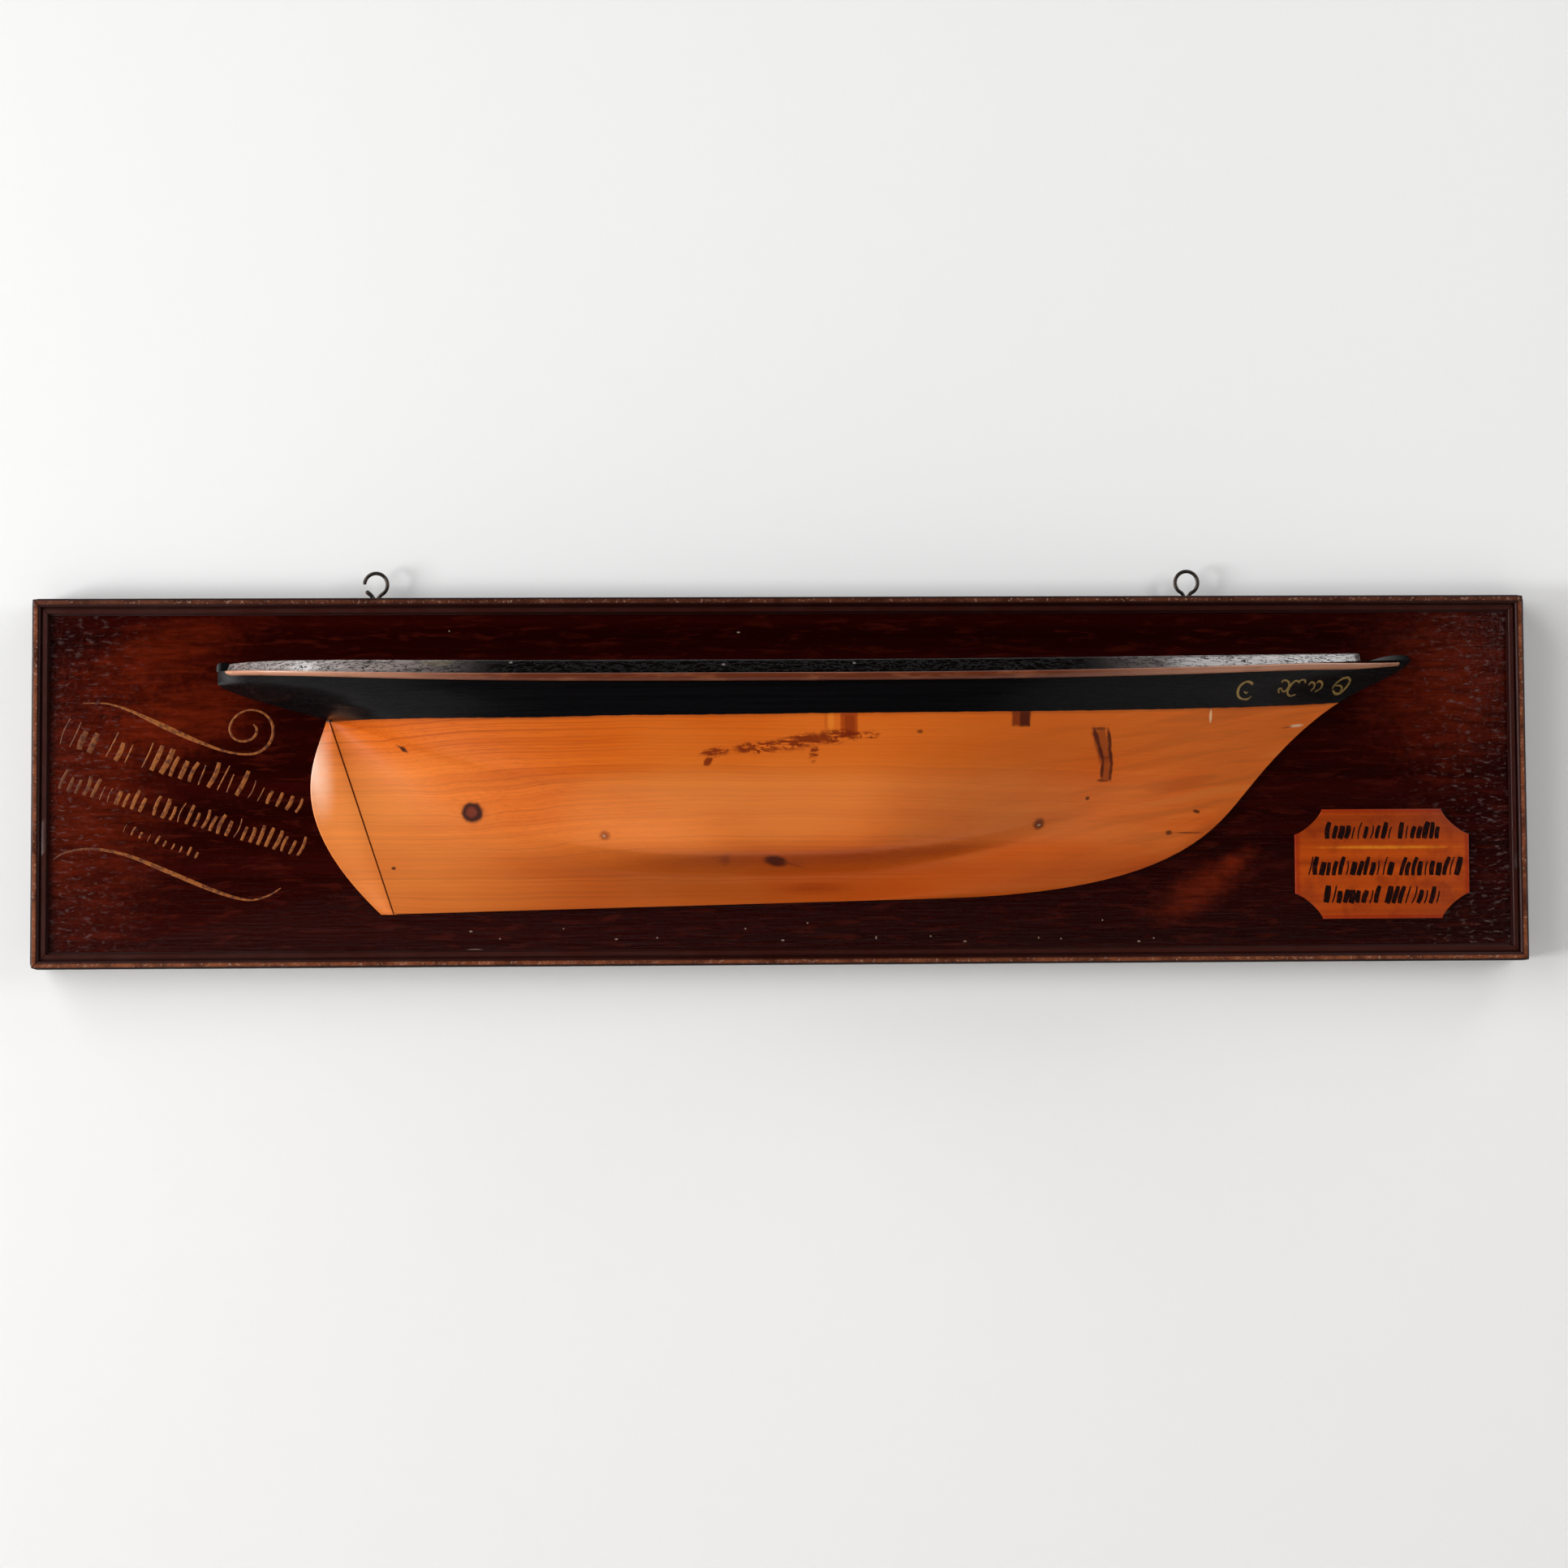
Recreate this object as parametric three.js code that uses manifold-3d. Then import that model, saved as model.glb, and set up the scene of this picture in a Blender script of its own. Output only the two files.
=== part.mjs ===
// Ship half hull model on a moulded backboard, hung from two screw eyes.
// Millimetres. +X runs to the bow, +Z is up and the hull stands out towards -Y.
// The origin is the middle of the board's back face, which lies on the wall.

import * as THREE from 'three';
import { mergeVertices } from 'three/addons/utils/BufferGeometryUtils.js';
import Module from 'manifold-3d';

const wasm = await Module();
wasm.setup();

// Air between two pieces that touch
const seat = 0.3;

// Backboard
const boardLength = 1395;
const boardHeight = 344;
const boardThickness = 19;

// Moulding planted round the edge of the board: a bead, a sunk line, a flat fillet, a quirk
const beadWidth = 8.3;
const beadRise = 5.5;
const sunkLineWidth = 1.5;
const sunkLineDepth = 1.2;
const filletWidth = 4.3;
const filletRise = 3.4;
const quirkWidth = 1.9;
const quirkRise = 1;
const wornCorner = 5;

// Hull, from the aft end of the counter to the stem head
const hullLength = 1118.7;
const hullHalfBreadth = 108;
const hullDepth = 205.6;
const hullForward = 32.85;
const keelBelowMiddle = 113.2;
const keelHalfThickness = 7;
const stemHalfThickness = 4;
const counterEdge = 2;
const counterEdgeFrom = 0.75;
const counterEdgeTo = 0.9;

// Midship section
const garboardHeight = 27;
const garboardTurn = 12;
const deadrise = THREE.MathUtils.degToRad(10.5);
const bilgeTurn = 17;
const tumblehome = 3;
const veeTopLevel = 0.5;
const veeShareAtEnds = 0.7;
const veeFrom = 0.1;
const veeTo = 0.8;

// Rudder and the scored line that parts it from the hull
const rudderEdgeThickness = 2;
const rudderIntoHull = 2;
const rudderLeastLength = 0.5;
const scoreWidth = 1.5;
const scoreDepth = 1;

// Bare wood moulding bent along the sheer
const sheerMouldingHeight = 8.5;
const sheerMouldingRise = 3.4;
const sheerMouldingAftGap = 14;
const sheerMouldingForeGap = 18;
const sheerMouldingAftTaper = 22;
const sheerMouldingForeTaper = 70;
const sheerMouldingTip = 0.35;

// Black top lift above the moulding
const liftHeight = 14;
const liftLean = THREE.MathUtils.degToRad(32);
const liftSetIn = 1.2;
const liftAftGap = 7;
const liftForeGap = 56;
const liftEndRound = 9;
const liftEdge = 1.5;
const liftShoulder = 0.86;
const liftLowerAft = 0.12;
const liftLowerFore = 0.5;
const headRise = 4;
const headLength = 44;
const headInset = 0.8;
const headSunk = 2;

// Tablet at the lower right of the board
const tabletWidth = 164;
const tabletHeight = 102.5;
const tabletThickness = 2.4;
const tabletScoopWidth = 26;
const tabletScoopHeight = 23.5;
const tabletScoopFlatness = 1.5;
const tabletFromForeEnd = 55;
const tabletFromFoot = 40;

// Screw eyes in the top edge of the board
const eyeSpacing = 763;
const eyeRadius = 10.7;
const eyeWire = 3.2;
const eyeNeck = 3;
const eyeScrewDepth = 24;
const eyeBoreClearance = 0.4;
const eyeBoreSpare = 1;
const eyeStart = THREE.MathUtils.degToRad(-62);
const eyeOpenEnd = THREE.MathUtils.degToRad(205);
const eyeClosedEnd = THREE.MathUtils.degToRad(246);

// Pins that hold the hull to the board
const pinRadius = 1.7;
const pinLength = 7;
const pinSink = 0.4;
const pinAftX = -163.5;
const pinForeX = 231.5;
const pinAftZ = -51.5;
const pinForeZ = -43;

// How finely curves are cut
const stationCount = 58;
const waterlineCount = 26;
const deadwoodRows = 8;
const curveSteps = 160;
const roundSides = 14;
const rudderSteps = 18;
const rudderAcross = 6;
const liftSteps = 56;
const headSteps = 8;
const eyeTurns = 20;
const eyeSteps = 42;
const backSpare = 4;

const face = -boardThickness;
const seatY = face - seat;
const hullAft = hullForward - hullLength / 2;
const hullFore = hullForward + hullLength / 2;

// Finishes
function finish(color, roughness, metalness = 0) {
  return new THREE.MeshStandardMaterial({ color, roughness, metalness });
}

const boardVarnish = finish(0x2a0f0a, 0.35);
const mouldingWood = finish(0x7a3a1e, 0.45);
const hullVarnish = finish(0xb86028, 0.4);
const bareWood = finish(0xa8664a, 0.55);
const blackPaint = finish(0x0c0b0c, 0.2);
const tabletPaint = finish(0xb4581c, 0.5);
const darkSteel = finish(0x3a3531, 0.45, 0.9);
const pinMetal = finish(0x8a7a68, 0.5, 0.8);

// A value faired through pins at given levels, as a batten bends through its nails.
function batten(levels, values, at) {
  const last = levels.length - 1;
  let i = 0;
  while (i < last - 1 && at > levels[i + 1]) i += 1;
  const slope = (k) => {
    const a = Math.max(k - 1, 0);
    const b = Math.min(k + 1, last);
    return (values[b] - values[a]) / (levels[b] - levels[a]);
  };
  const span = levels[i + 1] - levels[i];
  const t = THREE.MathUtils.clamp((at - levels[i]) / span, 0, 1);
  const t2 = t * t;
  const t3 = t2 * t;
  return (2 * t3 - 3 * t2 + 1) * values[i] + (t3 - 2 * t2 + t) * span * slope(i)
    + (3 * t2 - 2 * t3) * values[i + 1] + (t3 - t2) * span * slope(i + 1);
}

// A point of the side view, from its share of the hull's length and of its depth.
function sideView(lengthShare, depthShare) {
  return new THREE.Vector2(hullAft + lengthShare * hullLength,
    -keelBelowMiddle + depthShare * hullDepth);
}

function curveThrough(a, b, c, d) {
  return new THREE.CubicBezierCurve(a, b, c, d);
}

// Side view of the hull: keel, forefoot, stem, sternpost, counter and rudder.
const heel = sideView(0.1468, -0.0457);
const forefoot = sideView(0.6011, 0.0112);
const tuck = sideView(0.0936, 0.8278);
const forefootCurve = curveThrough(forefoot, sideView(0.8028, 0.036), sideView(0.8299, 0.3273),
  sideView(0.858, 0.5092));
const stemCurve = curveThrough(sideView(0.858, 0.5092), sideView(0.9357, 1.0136),
  sideView(0.9762, 0.949), sideView(1, 1.0929));
const counterCurve = curveThrough(tuck, sideView(0.0692, 0.8711), sideView(0.0076, 0.9484),
  sideView(0, 0.9976));
const rudderCurve = curveThrough(sideView(0.0905, 0.8444), sideView(0.0852, 0.6805),
  sideView(0.0451, 0.428), sideView(0.1356, -0.0472));

const midshipX = sideView(0.5, 0).x;
const sheerLowX = sideView(0.4706, 0).x;
const sheerAftRise = 0.04 * hullDepth;
const sheerForeRise = 0.091 * hullDepth;

function keelZ(x) {
  return THREE.MathUtils.mapLinear(x, heel.x, forefoot.x, heel.y, forefoot.y);
}

function sheerZ(x) {
  const low = -keelBelowMiddle + hullDepth;
  const aft = x < sheerLowX;
  const share = (x - sheerLowX) / ((aft ? hullAft : hullFore) - sheerLowX);
  return low + (aft ? sheerAftRise : sheerForeRise) * share ** 3;
}

// Levels of the keel, garboard turn, bilge, middle, load line and deck, as shares of the depth.
const lineLevels = [0, 0.13, 0.22, 0.45, 0.8, 1];
// How far each level rises above its height amidships, by the sternpost and by the stem.
const aftRise = [0, 0.43, 0.61, 0.45, 0.115, 0];
const foreRise = [0, 0.46, 0.46, 0.3, 0.06, 0];
const stemAtBilge = sideView(0.895, 0.72);
const aftSweep = 3;
const foreSweep = 1.9;

// The rise eases off before the tuck and the stem, so that it stops there without a corner.
const easeFrom = 0.8;

function eased(share) {
  const room = 1 - easeFrom;
  return share < easeFrom ? share : easeFrom + room * Math.tanh((share - easeFrom) / room);
}

function levelZ(x, level) {
  const aft = x < midshipX;
  const share = eased((x - midshipX) / ((aft ? tuck.x : stemAtBilge.x) - midshipX));
  const rise = batten(lineLevels, aft ? aftRise : foreRise, level);
  return THREE.MathUtils.lerp(keelZ(x), sheerZ(x), level)
    + rise * hullDepth * share ** (aft ? aftSweep : foreSweep);
}

const foreProfile = [
  ...forefootCurve.getPoints(curveSteps),
  ...stemCurve.getPoints(curveSteps),
];
const aftProfile = [
  heel,
  ...counterCurve.getPoints(curveSteps),
  new THREE.Vector2(hullAft, sheerZ(hullAft) + 1),
];

// Where a level line meets the profile at one end of the hull.
function endOfLevel(profile, level) {
  const above = (p) => p.y - levelZ(p.x, level);
  for (let i = 1; i < profile.length; i += 1) {
    const a = above(profile[i - 1]);
    const b = above(profile[i]);
    if (a <= 1e-6 && b > 1e-6) {
      return THREE.MathUtils.lerp(profile[i - 1].x, profile[i].x, Math.max(-a, 0) / (b - a));
    }
  }
  return profile[profile.length - 1].x;
}

// Midship section: half-breadth against height above the keel.
function midshipSection() {
  const rise = (breadth) => garboardHeight + (breadth - keelHalfThickness) * Math.tan(deadrise);
  const bilge = hullHalfBreadth - bilgeTurn;
  const section = new THREE.Path();
  section.moveTo(keelHalfThickness, 0);
  section.lineTo(keelHalfThickness, garboardHeight - garboardTurn);
  section.quadraticCurveTo(keelHalfThickness, garboardHeight,
    keelHalfThickness + garboardTurn, rise(keelHalfThickness + garboardTurn));
  section.lineTo(bilge, rise(bilge));
  section.quadraticCurveTo(hullHalfBreadth, rise(hullHalfBreadth),
    hullHalfBreadth, rise(hullHalfBreadth) + bilgeTurn);
  section.quadraticCurveTo(hullHalfBreadth, 0.7 * hullDepth, hullHalfBreadth - tumblehome, hullDepth);
  return section;
}

const sectionCurve = midshipSection().getSpacedPoints(6 * waterlineCount);

function midshipBreadth(level) {
  const z = level * hullDepth;
  let i = 1;
  while (i < sectionCurve.length - 1 && sectionCurve[i].y < z) i += 1;
  const a = sectionCurve[i - 1];
  const b = sectionCurve[i];
  const t = THREE.MathUtils.clamp((z - a.y) / (b.y - a.y), 0, 1);
  return THREE.MathUtils.lerp(a.x, b.x, t);
}

// Towards the ends the flat floor gives way to a vee. u runs from midships to either end.
function sectionBreadth(level, u) {
  const spread = hullHalfBreadth - keelHalfThickness;
  const vee = keelHalfThickness + spread * Math.min(level / veeTopLevel, 1);
  const share = veeShareAtEnds * THREE.MathUtils.smoothstep(u, veeFrom, veeTo);
  return THREE.MathUtils.lerp(midshipBreadth(level), vee, level < veeTopLevel ? share : 0);
}

// Fullness at the same levels. Each level line closes to its end as
// (1 - u to the power of flat) to the power of fine, where u runs from midships to that end.
const foreFlat = [2, 2, 2.1, 2.4, 2.8, 2.8];
const foreFine = [1, 1.2, 1.05, 1.1, 1.05, 0.85];
const aftFlat = [2, 2.4, 2.6, 2.9, 3.2, 3.6];
const aftFine = [1, 1.3, 1.15, 1, 0.72, 0.42];

function lineEnds(level) {
  return { aft: endOfLevel(aftProfile, level), fore: endOfLevel(foreProfile, level) };
}

// The run is faired past the corner of the tuck, and closes on the profile in its last part.
const fairAft = lineLevels.map((level) => endOfLevel(aftProfile, level));
const closing = 16;

function halfBreadth(x, level, ends = lineEnds(level)) {
  const aft = x < midshipX;
  const end = aft ? ends.aft : ends.fore;
  const fairEnd = aft ? batten(lineLevels, fairAft, level) : end;
  const reach = Math.max(Math.abs(end - midshipX), Math.abs(fairEnd - midshipX));
  const along = THREE.MathUtils.clamp((x - midshipX) / (end - midshipX), 0, 1);
  const u = Math.abs(x - midshipX) / reach;
  const flat = batten(lineLevels, aft ? aftFlat : foreFlat, level);
  const fine = batten(lineLevels, aft ? aftFine : foreFine, level);
  const overPost = THREE.MathUtils.smoothstep(level, counterEdgeFrom, counterEdgeTo);
  const aftEdge = THREE.MathUtils.lerp(keelHalfThickness, counterEdge, overPost);
  const foreEdge = THREE.MathUtils.lerp(keelHalfThickness, stemHalfThickness, along);
  const edge = aft ? aftEdge : foreEdge;
  const body = Math.max(sectionBreadth(level, u) - edge, 0);
  const closed = aft ? Math.sqrt(1 - along ** closing) : 1;
  return edge + body * Math.max(1 - u ** flat, 0) ** fine * closed;
}

// The hull's surface is a grid: one row for each level, one column for each station.
// Stations crowd towards the ends.
function crowdedShare(even, crowding) {
  return THREE.MathUtils.lerp(even, (1 - Math.cos(Math.PI * even)) / 2, crowding);
}

// Rows crowd towards the keel, where they fan out along the sternpost and the forefoot.
function hullLevels() {
  const turn = lineLevels[1];
  const deadwood = [];
  for (let k = 0; k < deadwoodRows; k += 1) deadwood.push(turn * (k / deadwoodRows) ** 1.7);
  const heights = midshipSection().getSpacedPoints(waterlineCount).map((p) => p.y / hullDepth);
  const mouldingFoot = 1 - sheerMouldingHeight / hullDepth;
  const between = heights.filter((v) => v > turn - 0.01 && v < mouldingFoot - 0.02);
  return [...deadwood, ...between, mouldingFoot, 1];
}

function hullGrid() {
  return hullLevels().map((level) => {
    const ends = lineEnds(level);
    const row = [];
    for (let j = 0; j <= stationCount; j += 1) {
      const share = crowdedShare(j / stationCount, 0.6);
      const x = THREE.MathUtils.lerp(ends.aft, ends.fore, share);
      row.push(new THREE.Vector3(x, seatY - halfBreadth(x, level, ends), levelZ(x, level)));
    }
    return row;
  });
}

// A closed geometry from loose points and faces, turned so that its faces point out.
function closedGeometry(points, faces) {
  const geometry = new THREE.BufferGeometry();
  geometry.setAttribute('position',
    new THREE.Float32BufferAttribute(points.flatMap((p) => [p.x, p.y, p.z]), 3));
  let volume = 0;
  for (const [a, b, c] of faces) {
    volume += points[a].dot(new THREE.Vector3().crossVectors(points[b], points[c]));
  }
  const outward = volume > 0 ? faces : faces.map(([a, b, c]) => [a, c, b]);
  geometry.setIndex(outward.flat());
  return geometry;
}

// A carved face given as a grid, closed by straight sides on its flat copy at y.
function backedGrid(grid, y) {
  const rows = grid.length;
  const columns = grid[0].length;
  const carved = grid.flat();
  const flat = carved.map((p) => new THREE.Vector3(p.x, y, p.z));
  const front = (i, j) => i * columns + j;
  const back = (i, j) => carved.length + front(i, j);
  const faces = [];
  const quad = (a, b, c, d) => faces.push([a, b, c], [a, c, d]);
  for (let i = 1; i < rows; i += 1) {
    for (let j = 1; j < columns; j += 1) {
      quad(front(i - 1, j - 1), front(i - 1, j), front(i, j), front(i, j - 1));
      quad(back(i, j - 1), back(i, j), back(i - 1, j), back(i - 1, j - 1));
    }
  }
  for (let j = 1; j < columns; j += 1) {
    quad(front(0, j), front(0, j - 1), back(0, j - 1), back(0, j));
    quad(front(rows - 1, j - 1), front(rows - 1, j), back(rows - 1, j), back(rows - 1, j - 1));
  }
  for (let i = 1; i < rows; i += 1) {
    quad(front(i - 1, 0), front(i, 0), back(i, 0), back(i - 1, 0));
    quad(front(i, columns - 1), front(i - 1, columns - 1),
      back(i - 1, columns - 1), back(i, columns - 1));
  }
  return closedGeometry([...carved, ...flat], faces);
}

// A closed bar lofted through rings of equally many points.
function loftedBar(rings) {
  const count = rings[0].length;
  const points = rings.flat();
  const faces = [];
  for (let i = 1; i < rings.length; i += 1) {
    for (let k = 0; k < count; k += 1) {
      const next = (k + 1) % count;
      const a = (i - 1) * count;
      const b = i * count;
      faces.push([a + k, a + next, b + k]);
      faces.push([a + next, b + next, b + k]);
    }
  }
  const last = (rings.length - 1) * count;
  for (let k = 2; k < count; k += 1) {
    faces.push([0, k, k - 1]);
    faces.push([last, last + k - 1, last + k]);
  }
  return closedGeometry(points, faces);
}

// Joins and cuts
function solid(geometry) {
  const bare = geometry.clone();
  bare.deleteAttribute('normal');
  bare.deleteAttribute('uv');
  const welded = mergeVertices(bare, 1e-4);
  return new wasm.Manifold(new wasm.Mesh({
    numProp: 3,
    vertProperties: new Float32Array(welded.attributes.position.array),
    triVerts: new Uint32Array(welded.index.array),
  }));
}

function shapeOf(body) {
  const mesh = body.getMesh();
  const geometry = new THREE.BufferGeometry();
  geometry.setAttribute('position', new THREE.BufferAttribute(mesh.vertProperties, 3));
  geometry.setIndex(new THREE.BufferAttribute(mesh.triVerts, 1));
  return geometry;
}

const sheerRow = hullGrid().at(-1);
const mouldingFootRow = hullGrid().at(-2);

// The rudder rounds off from its post to a thin trailing edge.
function rudderGrid() {
  const grid = [];
  for (let i = 0; i <= rudderSteps; i += 1) {
    const edge = rudderCurve.getPoint(1 - i / rudderSteps);
    const postX = THREE.MathUtils.mapLinear(edge.y, heel.y, tuck.y, heel.x, tuck.x);
    const row = [];
    for (let j = 0; j <= rudderAcross; j += 1) {
      const angle = (Math.PI / 2) * (j / rudderAcross);
      const thick = THREE.MathUtils.lerp(rudderEdgeThickness, keelHalfThickness, Math.cos(angle));
      const x = THREE.MathUtils.lerp(postX, Math.min(edge.x, postX - rudderLeastLength), Math.sin(angle));
      row.push(new THREE.Vector3(j === 0 ? postX + rudderIntoHull : x, seatY - thick, edge.y));
    }
    grid.push(row);
  }
  return grid;
}

// The stem head stands a little above the sheer, forward of the top lift.
function stemHeadGrid() {
  const foot = [];
  const top = [];
  for (let j = 0; j <= headSteps; j += 1) {
    const along = j / headSteps;
    const x = hullFore - stemHalfThickness - headLength * (1 - along);
    const rise = headRise * Math.sin(Math.PI * Math.min(0.05 + 0.62 * along, 1));
    const footBreadth = Math.max(halfBreadth(x, 1 - headSunk / hullDepth) - headInset, headInset);
    const topBreadth = Math.max(footBreadth - rise / 2, headInset);
    foot.push(new THREE.Vector3(x, seatY - footBreadth, sheerZ(x) - headSunk));
    top.push(new THREE.Vector3(x, seatY - topBreadth, sheerZ(x) + rise));
  }
  return [foot, top];
}

// A round bar along Y, for the pins and their bores.
function barAlongY(radius, from, to, x, z) {
  const bar = new THREE.CylinderGeometry(radius, radius, to - from, roundSides);
  bar.translate(x, (from + to) / 2, z);
  return bar;
}

function hullSurfaceY(x, z) {
  let low = 0;
  let high = 1;
  for (let i = 0; i < 40; i += 1) {
    const middle = (low + high) / 2;
    if (levelZ(x, middle) < z) low = middle;
    else high = middle;
  }
  return seatY - halfBreadth(x, low);
}

const pins = [
  { name: 'hull_pin_aft', x: pinAftX, z: pinAftZ },
  { name: 'hull_pin_fore', x: pinForeX, z: pinForeZ },
];

// The scored line runs down the sternpost, sunk just below the level of the keel's face.
function scoreCutter() {
  const from = new THREE.Vector3(tuck.x, 0, tuck.y);
  const to = new THREE.Vector3(heel.x, 0, heel.y);
  const reach = hullHalfBreadth / 4;
  const floor = seatY - keelHalfThickness + scoreDepth;
  const cutter = new THREE.BoxGeometry(scoreWidth, reach, from.distanceTo(to) + scoreWidth);
  cutter.rotateY(Math.atan2(from.x - to.x, from.z - to.z));
  cutter.translate((from.x + to.x) / 2, floor - reach / 2, (from.z + to.z) / 2);
  return cutter;
}

// What lies behind the hull's flat back, to be sawn off it.
function sawnOff() {
  const waste = new THREE.BoxGeometry(2 * hullLength, 2 * backSpare, 3 * hullDepth);
  waste.translate(hullForward, seatY + backSpare, 0);
  return waste;
}

function makeHalfHull() {
  const backY = seatY + backSpare / 2;
  let body = solid(backedGrid(hullGrid(), backY));
  body = body.add(solid(backedGrid(rudderGrid(), backY)));
  body = body.add(solid(backedGrid(stemHeadGrid(), backY)));
  body = body.subtract(solid(sawnOff()));
  body = body.subtract(solid(scoreCutter()));
  for (const pin of pins) {
    const y = hullSurfaceY(pin.x, pin.z);
    const bore = barAlongY(pinRadius + seat, y - pinLength, y + pinLength + seat, pin.x, pin.z);
    body = body.subtract(solid(bore));
  }
  return shapeOf(body);
}

function makePin(pin) {
  const y = hullSurfaceY(pin.x, pin.z) + pinSink;
  return barAlongY(pinRadius, y, y + pinLength - pinSink, pin.x, pin.z);
}

// The sheer moulding lies against the hull's top edge and thins out at both ends.
function makeSheerMoulding() {
  const arcSteps = 5;
  const from = hullAft + sheerMouldingAftGap;
  const to = hullFore - sheerMouldingForeGap;
  const rings = [];
  sheerRow.forEach((top, j) => {
    if (top.x < from || top.x > to || j === 0 || j === sheerRow.length - 1) return;
    const foot = mouldingFootRow[j];
    const run = new THREE.Vector3().subVectors(sheerRow[j + 1], sheerRow[j - 1]);
    const out = new THREE.Vector3(run.y, -run.x, 0).normalize();
    const aft = THREE.MathUtils.smoothstep(top.x,
      from - sheerMouldingAftTaper / 2, from + sheerMouldingAftTaper);
    const fore = 1 - THREE.MathUtils.smoothstep(top.x,
      to - sheerMouldingForeTaper, to + sheerMouldingForeTaper / 2);
    const size = THREE.MathUtils.lerp(sheerMouldingTip, 1, Math.min(aft, fore));
    const ring = [];
    for (let k = 0; k <= arcSteps; k += 1) {
      const angle = Math.PI * (k / arcSteps - 0.5);
      const up = 0.5 + Math.sin(angle) / 2;
      const point = foot.clone().lerp(top, 1 - size * (1 - up));
      ring.push(point.addScaledVector(out, seat + sheerMouldingRise * size * Math.cos(angle) ** 0.7));
    }
    rings.push(ring);
  });
  return loftedBar(rings);
}

// The top lift follows the deck line, its face leaning in to a flat top. It lowers towards its
// ends, which are rounded.
function makeTopLift() {
  const from = hullAft + liftAftGap;
  const to = hullFore - liftForeGap;
  const stretch = hullLength / (hullLength - liftAftGap);
  const foot = [];
  const shoulder = [];
  const crown = [];
  for (let j = 0; j <= liftSteps; j += 1) {
    const x = THREE.MathUtils.lerp(from, to, crowdedShare(j / liftSteps, 0.7));
    const deckX = hullFore - (hullFore - x) * stretch;
    const aft = x < sheerLowX;
    const share = (x - sheerLowX) / ((aft ? hullAft : hullFore) - sheerLowX);
    const height = liftHeight * (1 - (aft ? liftLowerAft : liftLowerFore) * share ** 3);
    const intoRound = THREE.MathUtils.clamp(1 - (to - x) / liftEndRound, 0, 1);
    const cutBack = liftEndRound * (1 - Math.sqrt(1 - intoRound ** 2));
    const breadth = halfBreadth(deckX, 1) - liftSetIn - cutBack;
    const faceAt = (up) => {
      const reach = Math.max(breadth - up * height * Math.tan(liftLean), liftEdge);
      return new THREE.Vector3(x, seatY - reach, sheerZ(x) + seat + up * height);
    };
    foot.push(faceAt(0));
    shoulder.push(faceAt(liftShoulder));
    const top = faceAt(1);
    top.y = Math.min(top.y + 1, seatY - liftEdge);
    crown.push(top);
  }
  return backedGrid([foot, shoulder, crown], seatY);
}

// Edge moulding, in section: across from the board's edge, and out from its face.
function mouldingSection() {
  const wide = beadWidth + sunkLineWidth + filletWidth + quirkWidth;
  const section = new THREE.Shape();
  section.moveTo(0, 0);
  section.lineTo(0, 0.35 * beadRise);
  section.bezierCurveTo(0, beadRise, 0.25 * beadWidth, beadRise, 0.45 * beadWidth, beadRise);
  section.bezierCurveTo(0.8 * beadWidth, beadRise, beadWidth, 0.85 * beadRise,
    beadWidth, filletRise - sunkLineDepth);
  section.lineTo(beadWidth + sunkLineWidth, filletRise - sunkLineDepth);
  section.lineTo(beadWidth + sunkLineWidth, filletRise);
  section.lineTo(beadWidth + sunkLineWidth + filletWidth, filletRise);
  section.lineTo(beadWidth + sunkLineWidth + filletWidth, quirkRise);
  section.lineTo(wide, quirkRise * 0.6);
  section.lineTo(wide, 0);
  section.closePath();
  return section;
}

// One mitred length, laid along +X with the board's edge at the top.
function mitredLength(length) {
  const bar = new THREE.ExtrudeGeometry(mouldingSection(), {
    depth: 1, steps: 1, curveSegments: 5, bevelEnabled: false,
  });
  const position = bar.attributes.position;
  for (let i = 0; i < position.count; i += 1) {
    const across = position.getX(i);
    const out = position.getY(i);
    const half = length / 2 - across - seat;
    position.setXYZ(i, position.getZ(i) < 0.5 ? -half : half, -out, -across);
  }
  return bar;
}

// The lower aft corner of the frame is worn round.
function wearCorner(geometry) {
  const block = new THREE.BoxGeometry(2 * wornCorner, 8 * beadRise, 2 * wornCorner);
  const round = new THREE.CylinderGeometry(wornCorner, wornCorner, 9 * beadRise, 4 * roundSides);
  round.translate(wornCorner, 0, wornCorner);
  const waste = solid(block).subtract(solid(round));
  const at = [-boardLength / 2, seatY, -boardHeight / 2];
  return shapeOf(solid(geometry).subtract(waste.translate(at)));
}

function makeEdgeMoulding(side) {
  const upright = side === 'aft' || side === 'fore';
  const bar = mitredLength(upright ? boardHeight : boardLength);
  const turn = { top: 0, fore: 90, bottom: 180, aft: 270 }[side];
  bar.translate(0, 0, (upright ? boardLength : boardHeight) / 2);
  bar.rotateY(THREE.MathUtils.degToRad(turn));
  bar.translate(0, seatY, 0);
  const moulding = closedFromExtrusion(bar);
  return side === 'aft' || side === 'bottom' ? wearCorner(moulding) : moulding;
}

// An extrusion's points after they were moved by hand, with its faces pointing out again.
function closedFromExtrusion(geometry) {
  const bare = geometry.clone();
  bare.deleteAttribute('normal');
  bare.deleteAttribute('uv');
  const welded = mergeVertices(bare, 1e-4);
  const position = welded.attributes.position;
  const points = [];
  for (let i = 0; i < position.count; i += 1) {
    points.push(new THREE.Vector3().fromBufferAttribute(position, i));
  }
  const index = Array.from(welded.index.array);
  const faces = [];
  for (let i = 0; i < index.length; i += 3) faces.push(index.slice(i, i + 3));
  return closedGeometry(points, faces);
}

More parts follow.
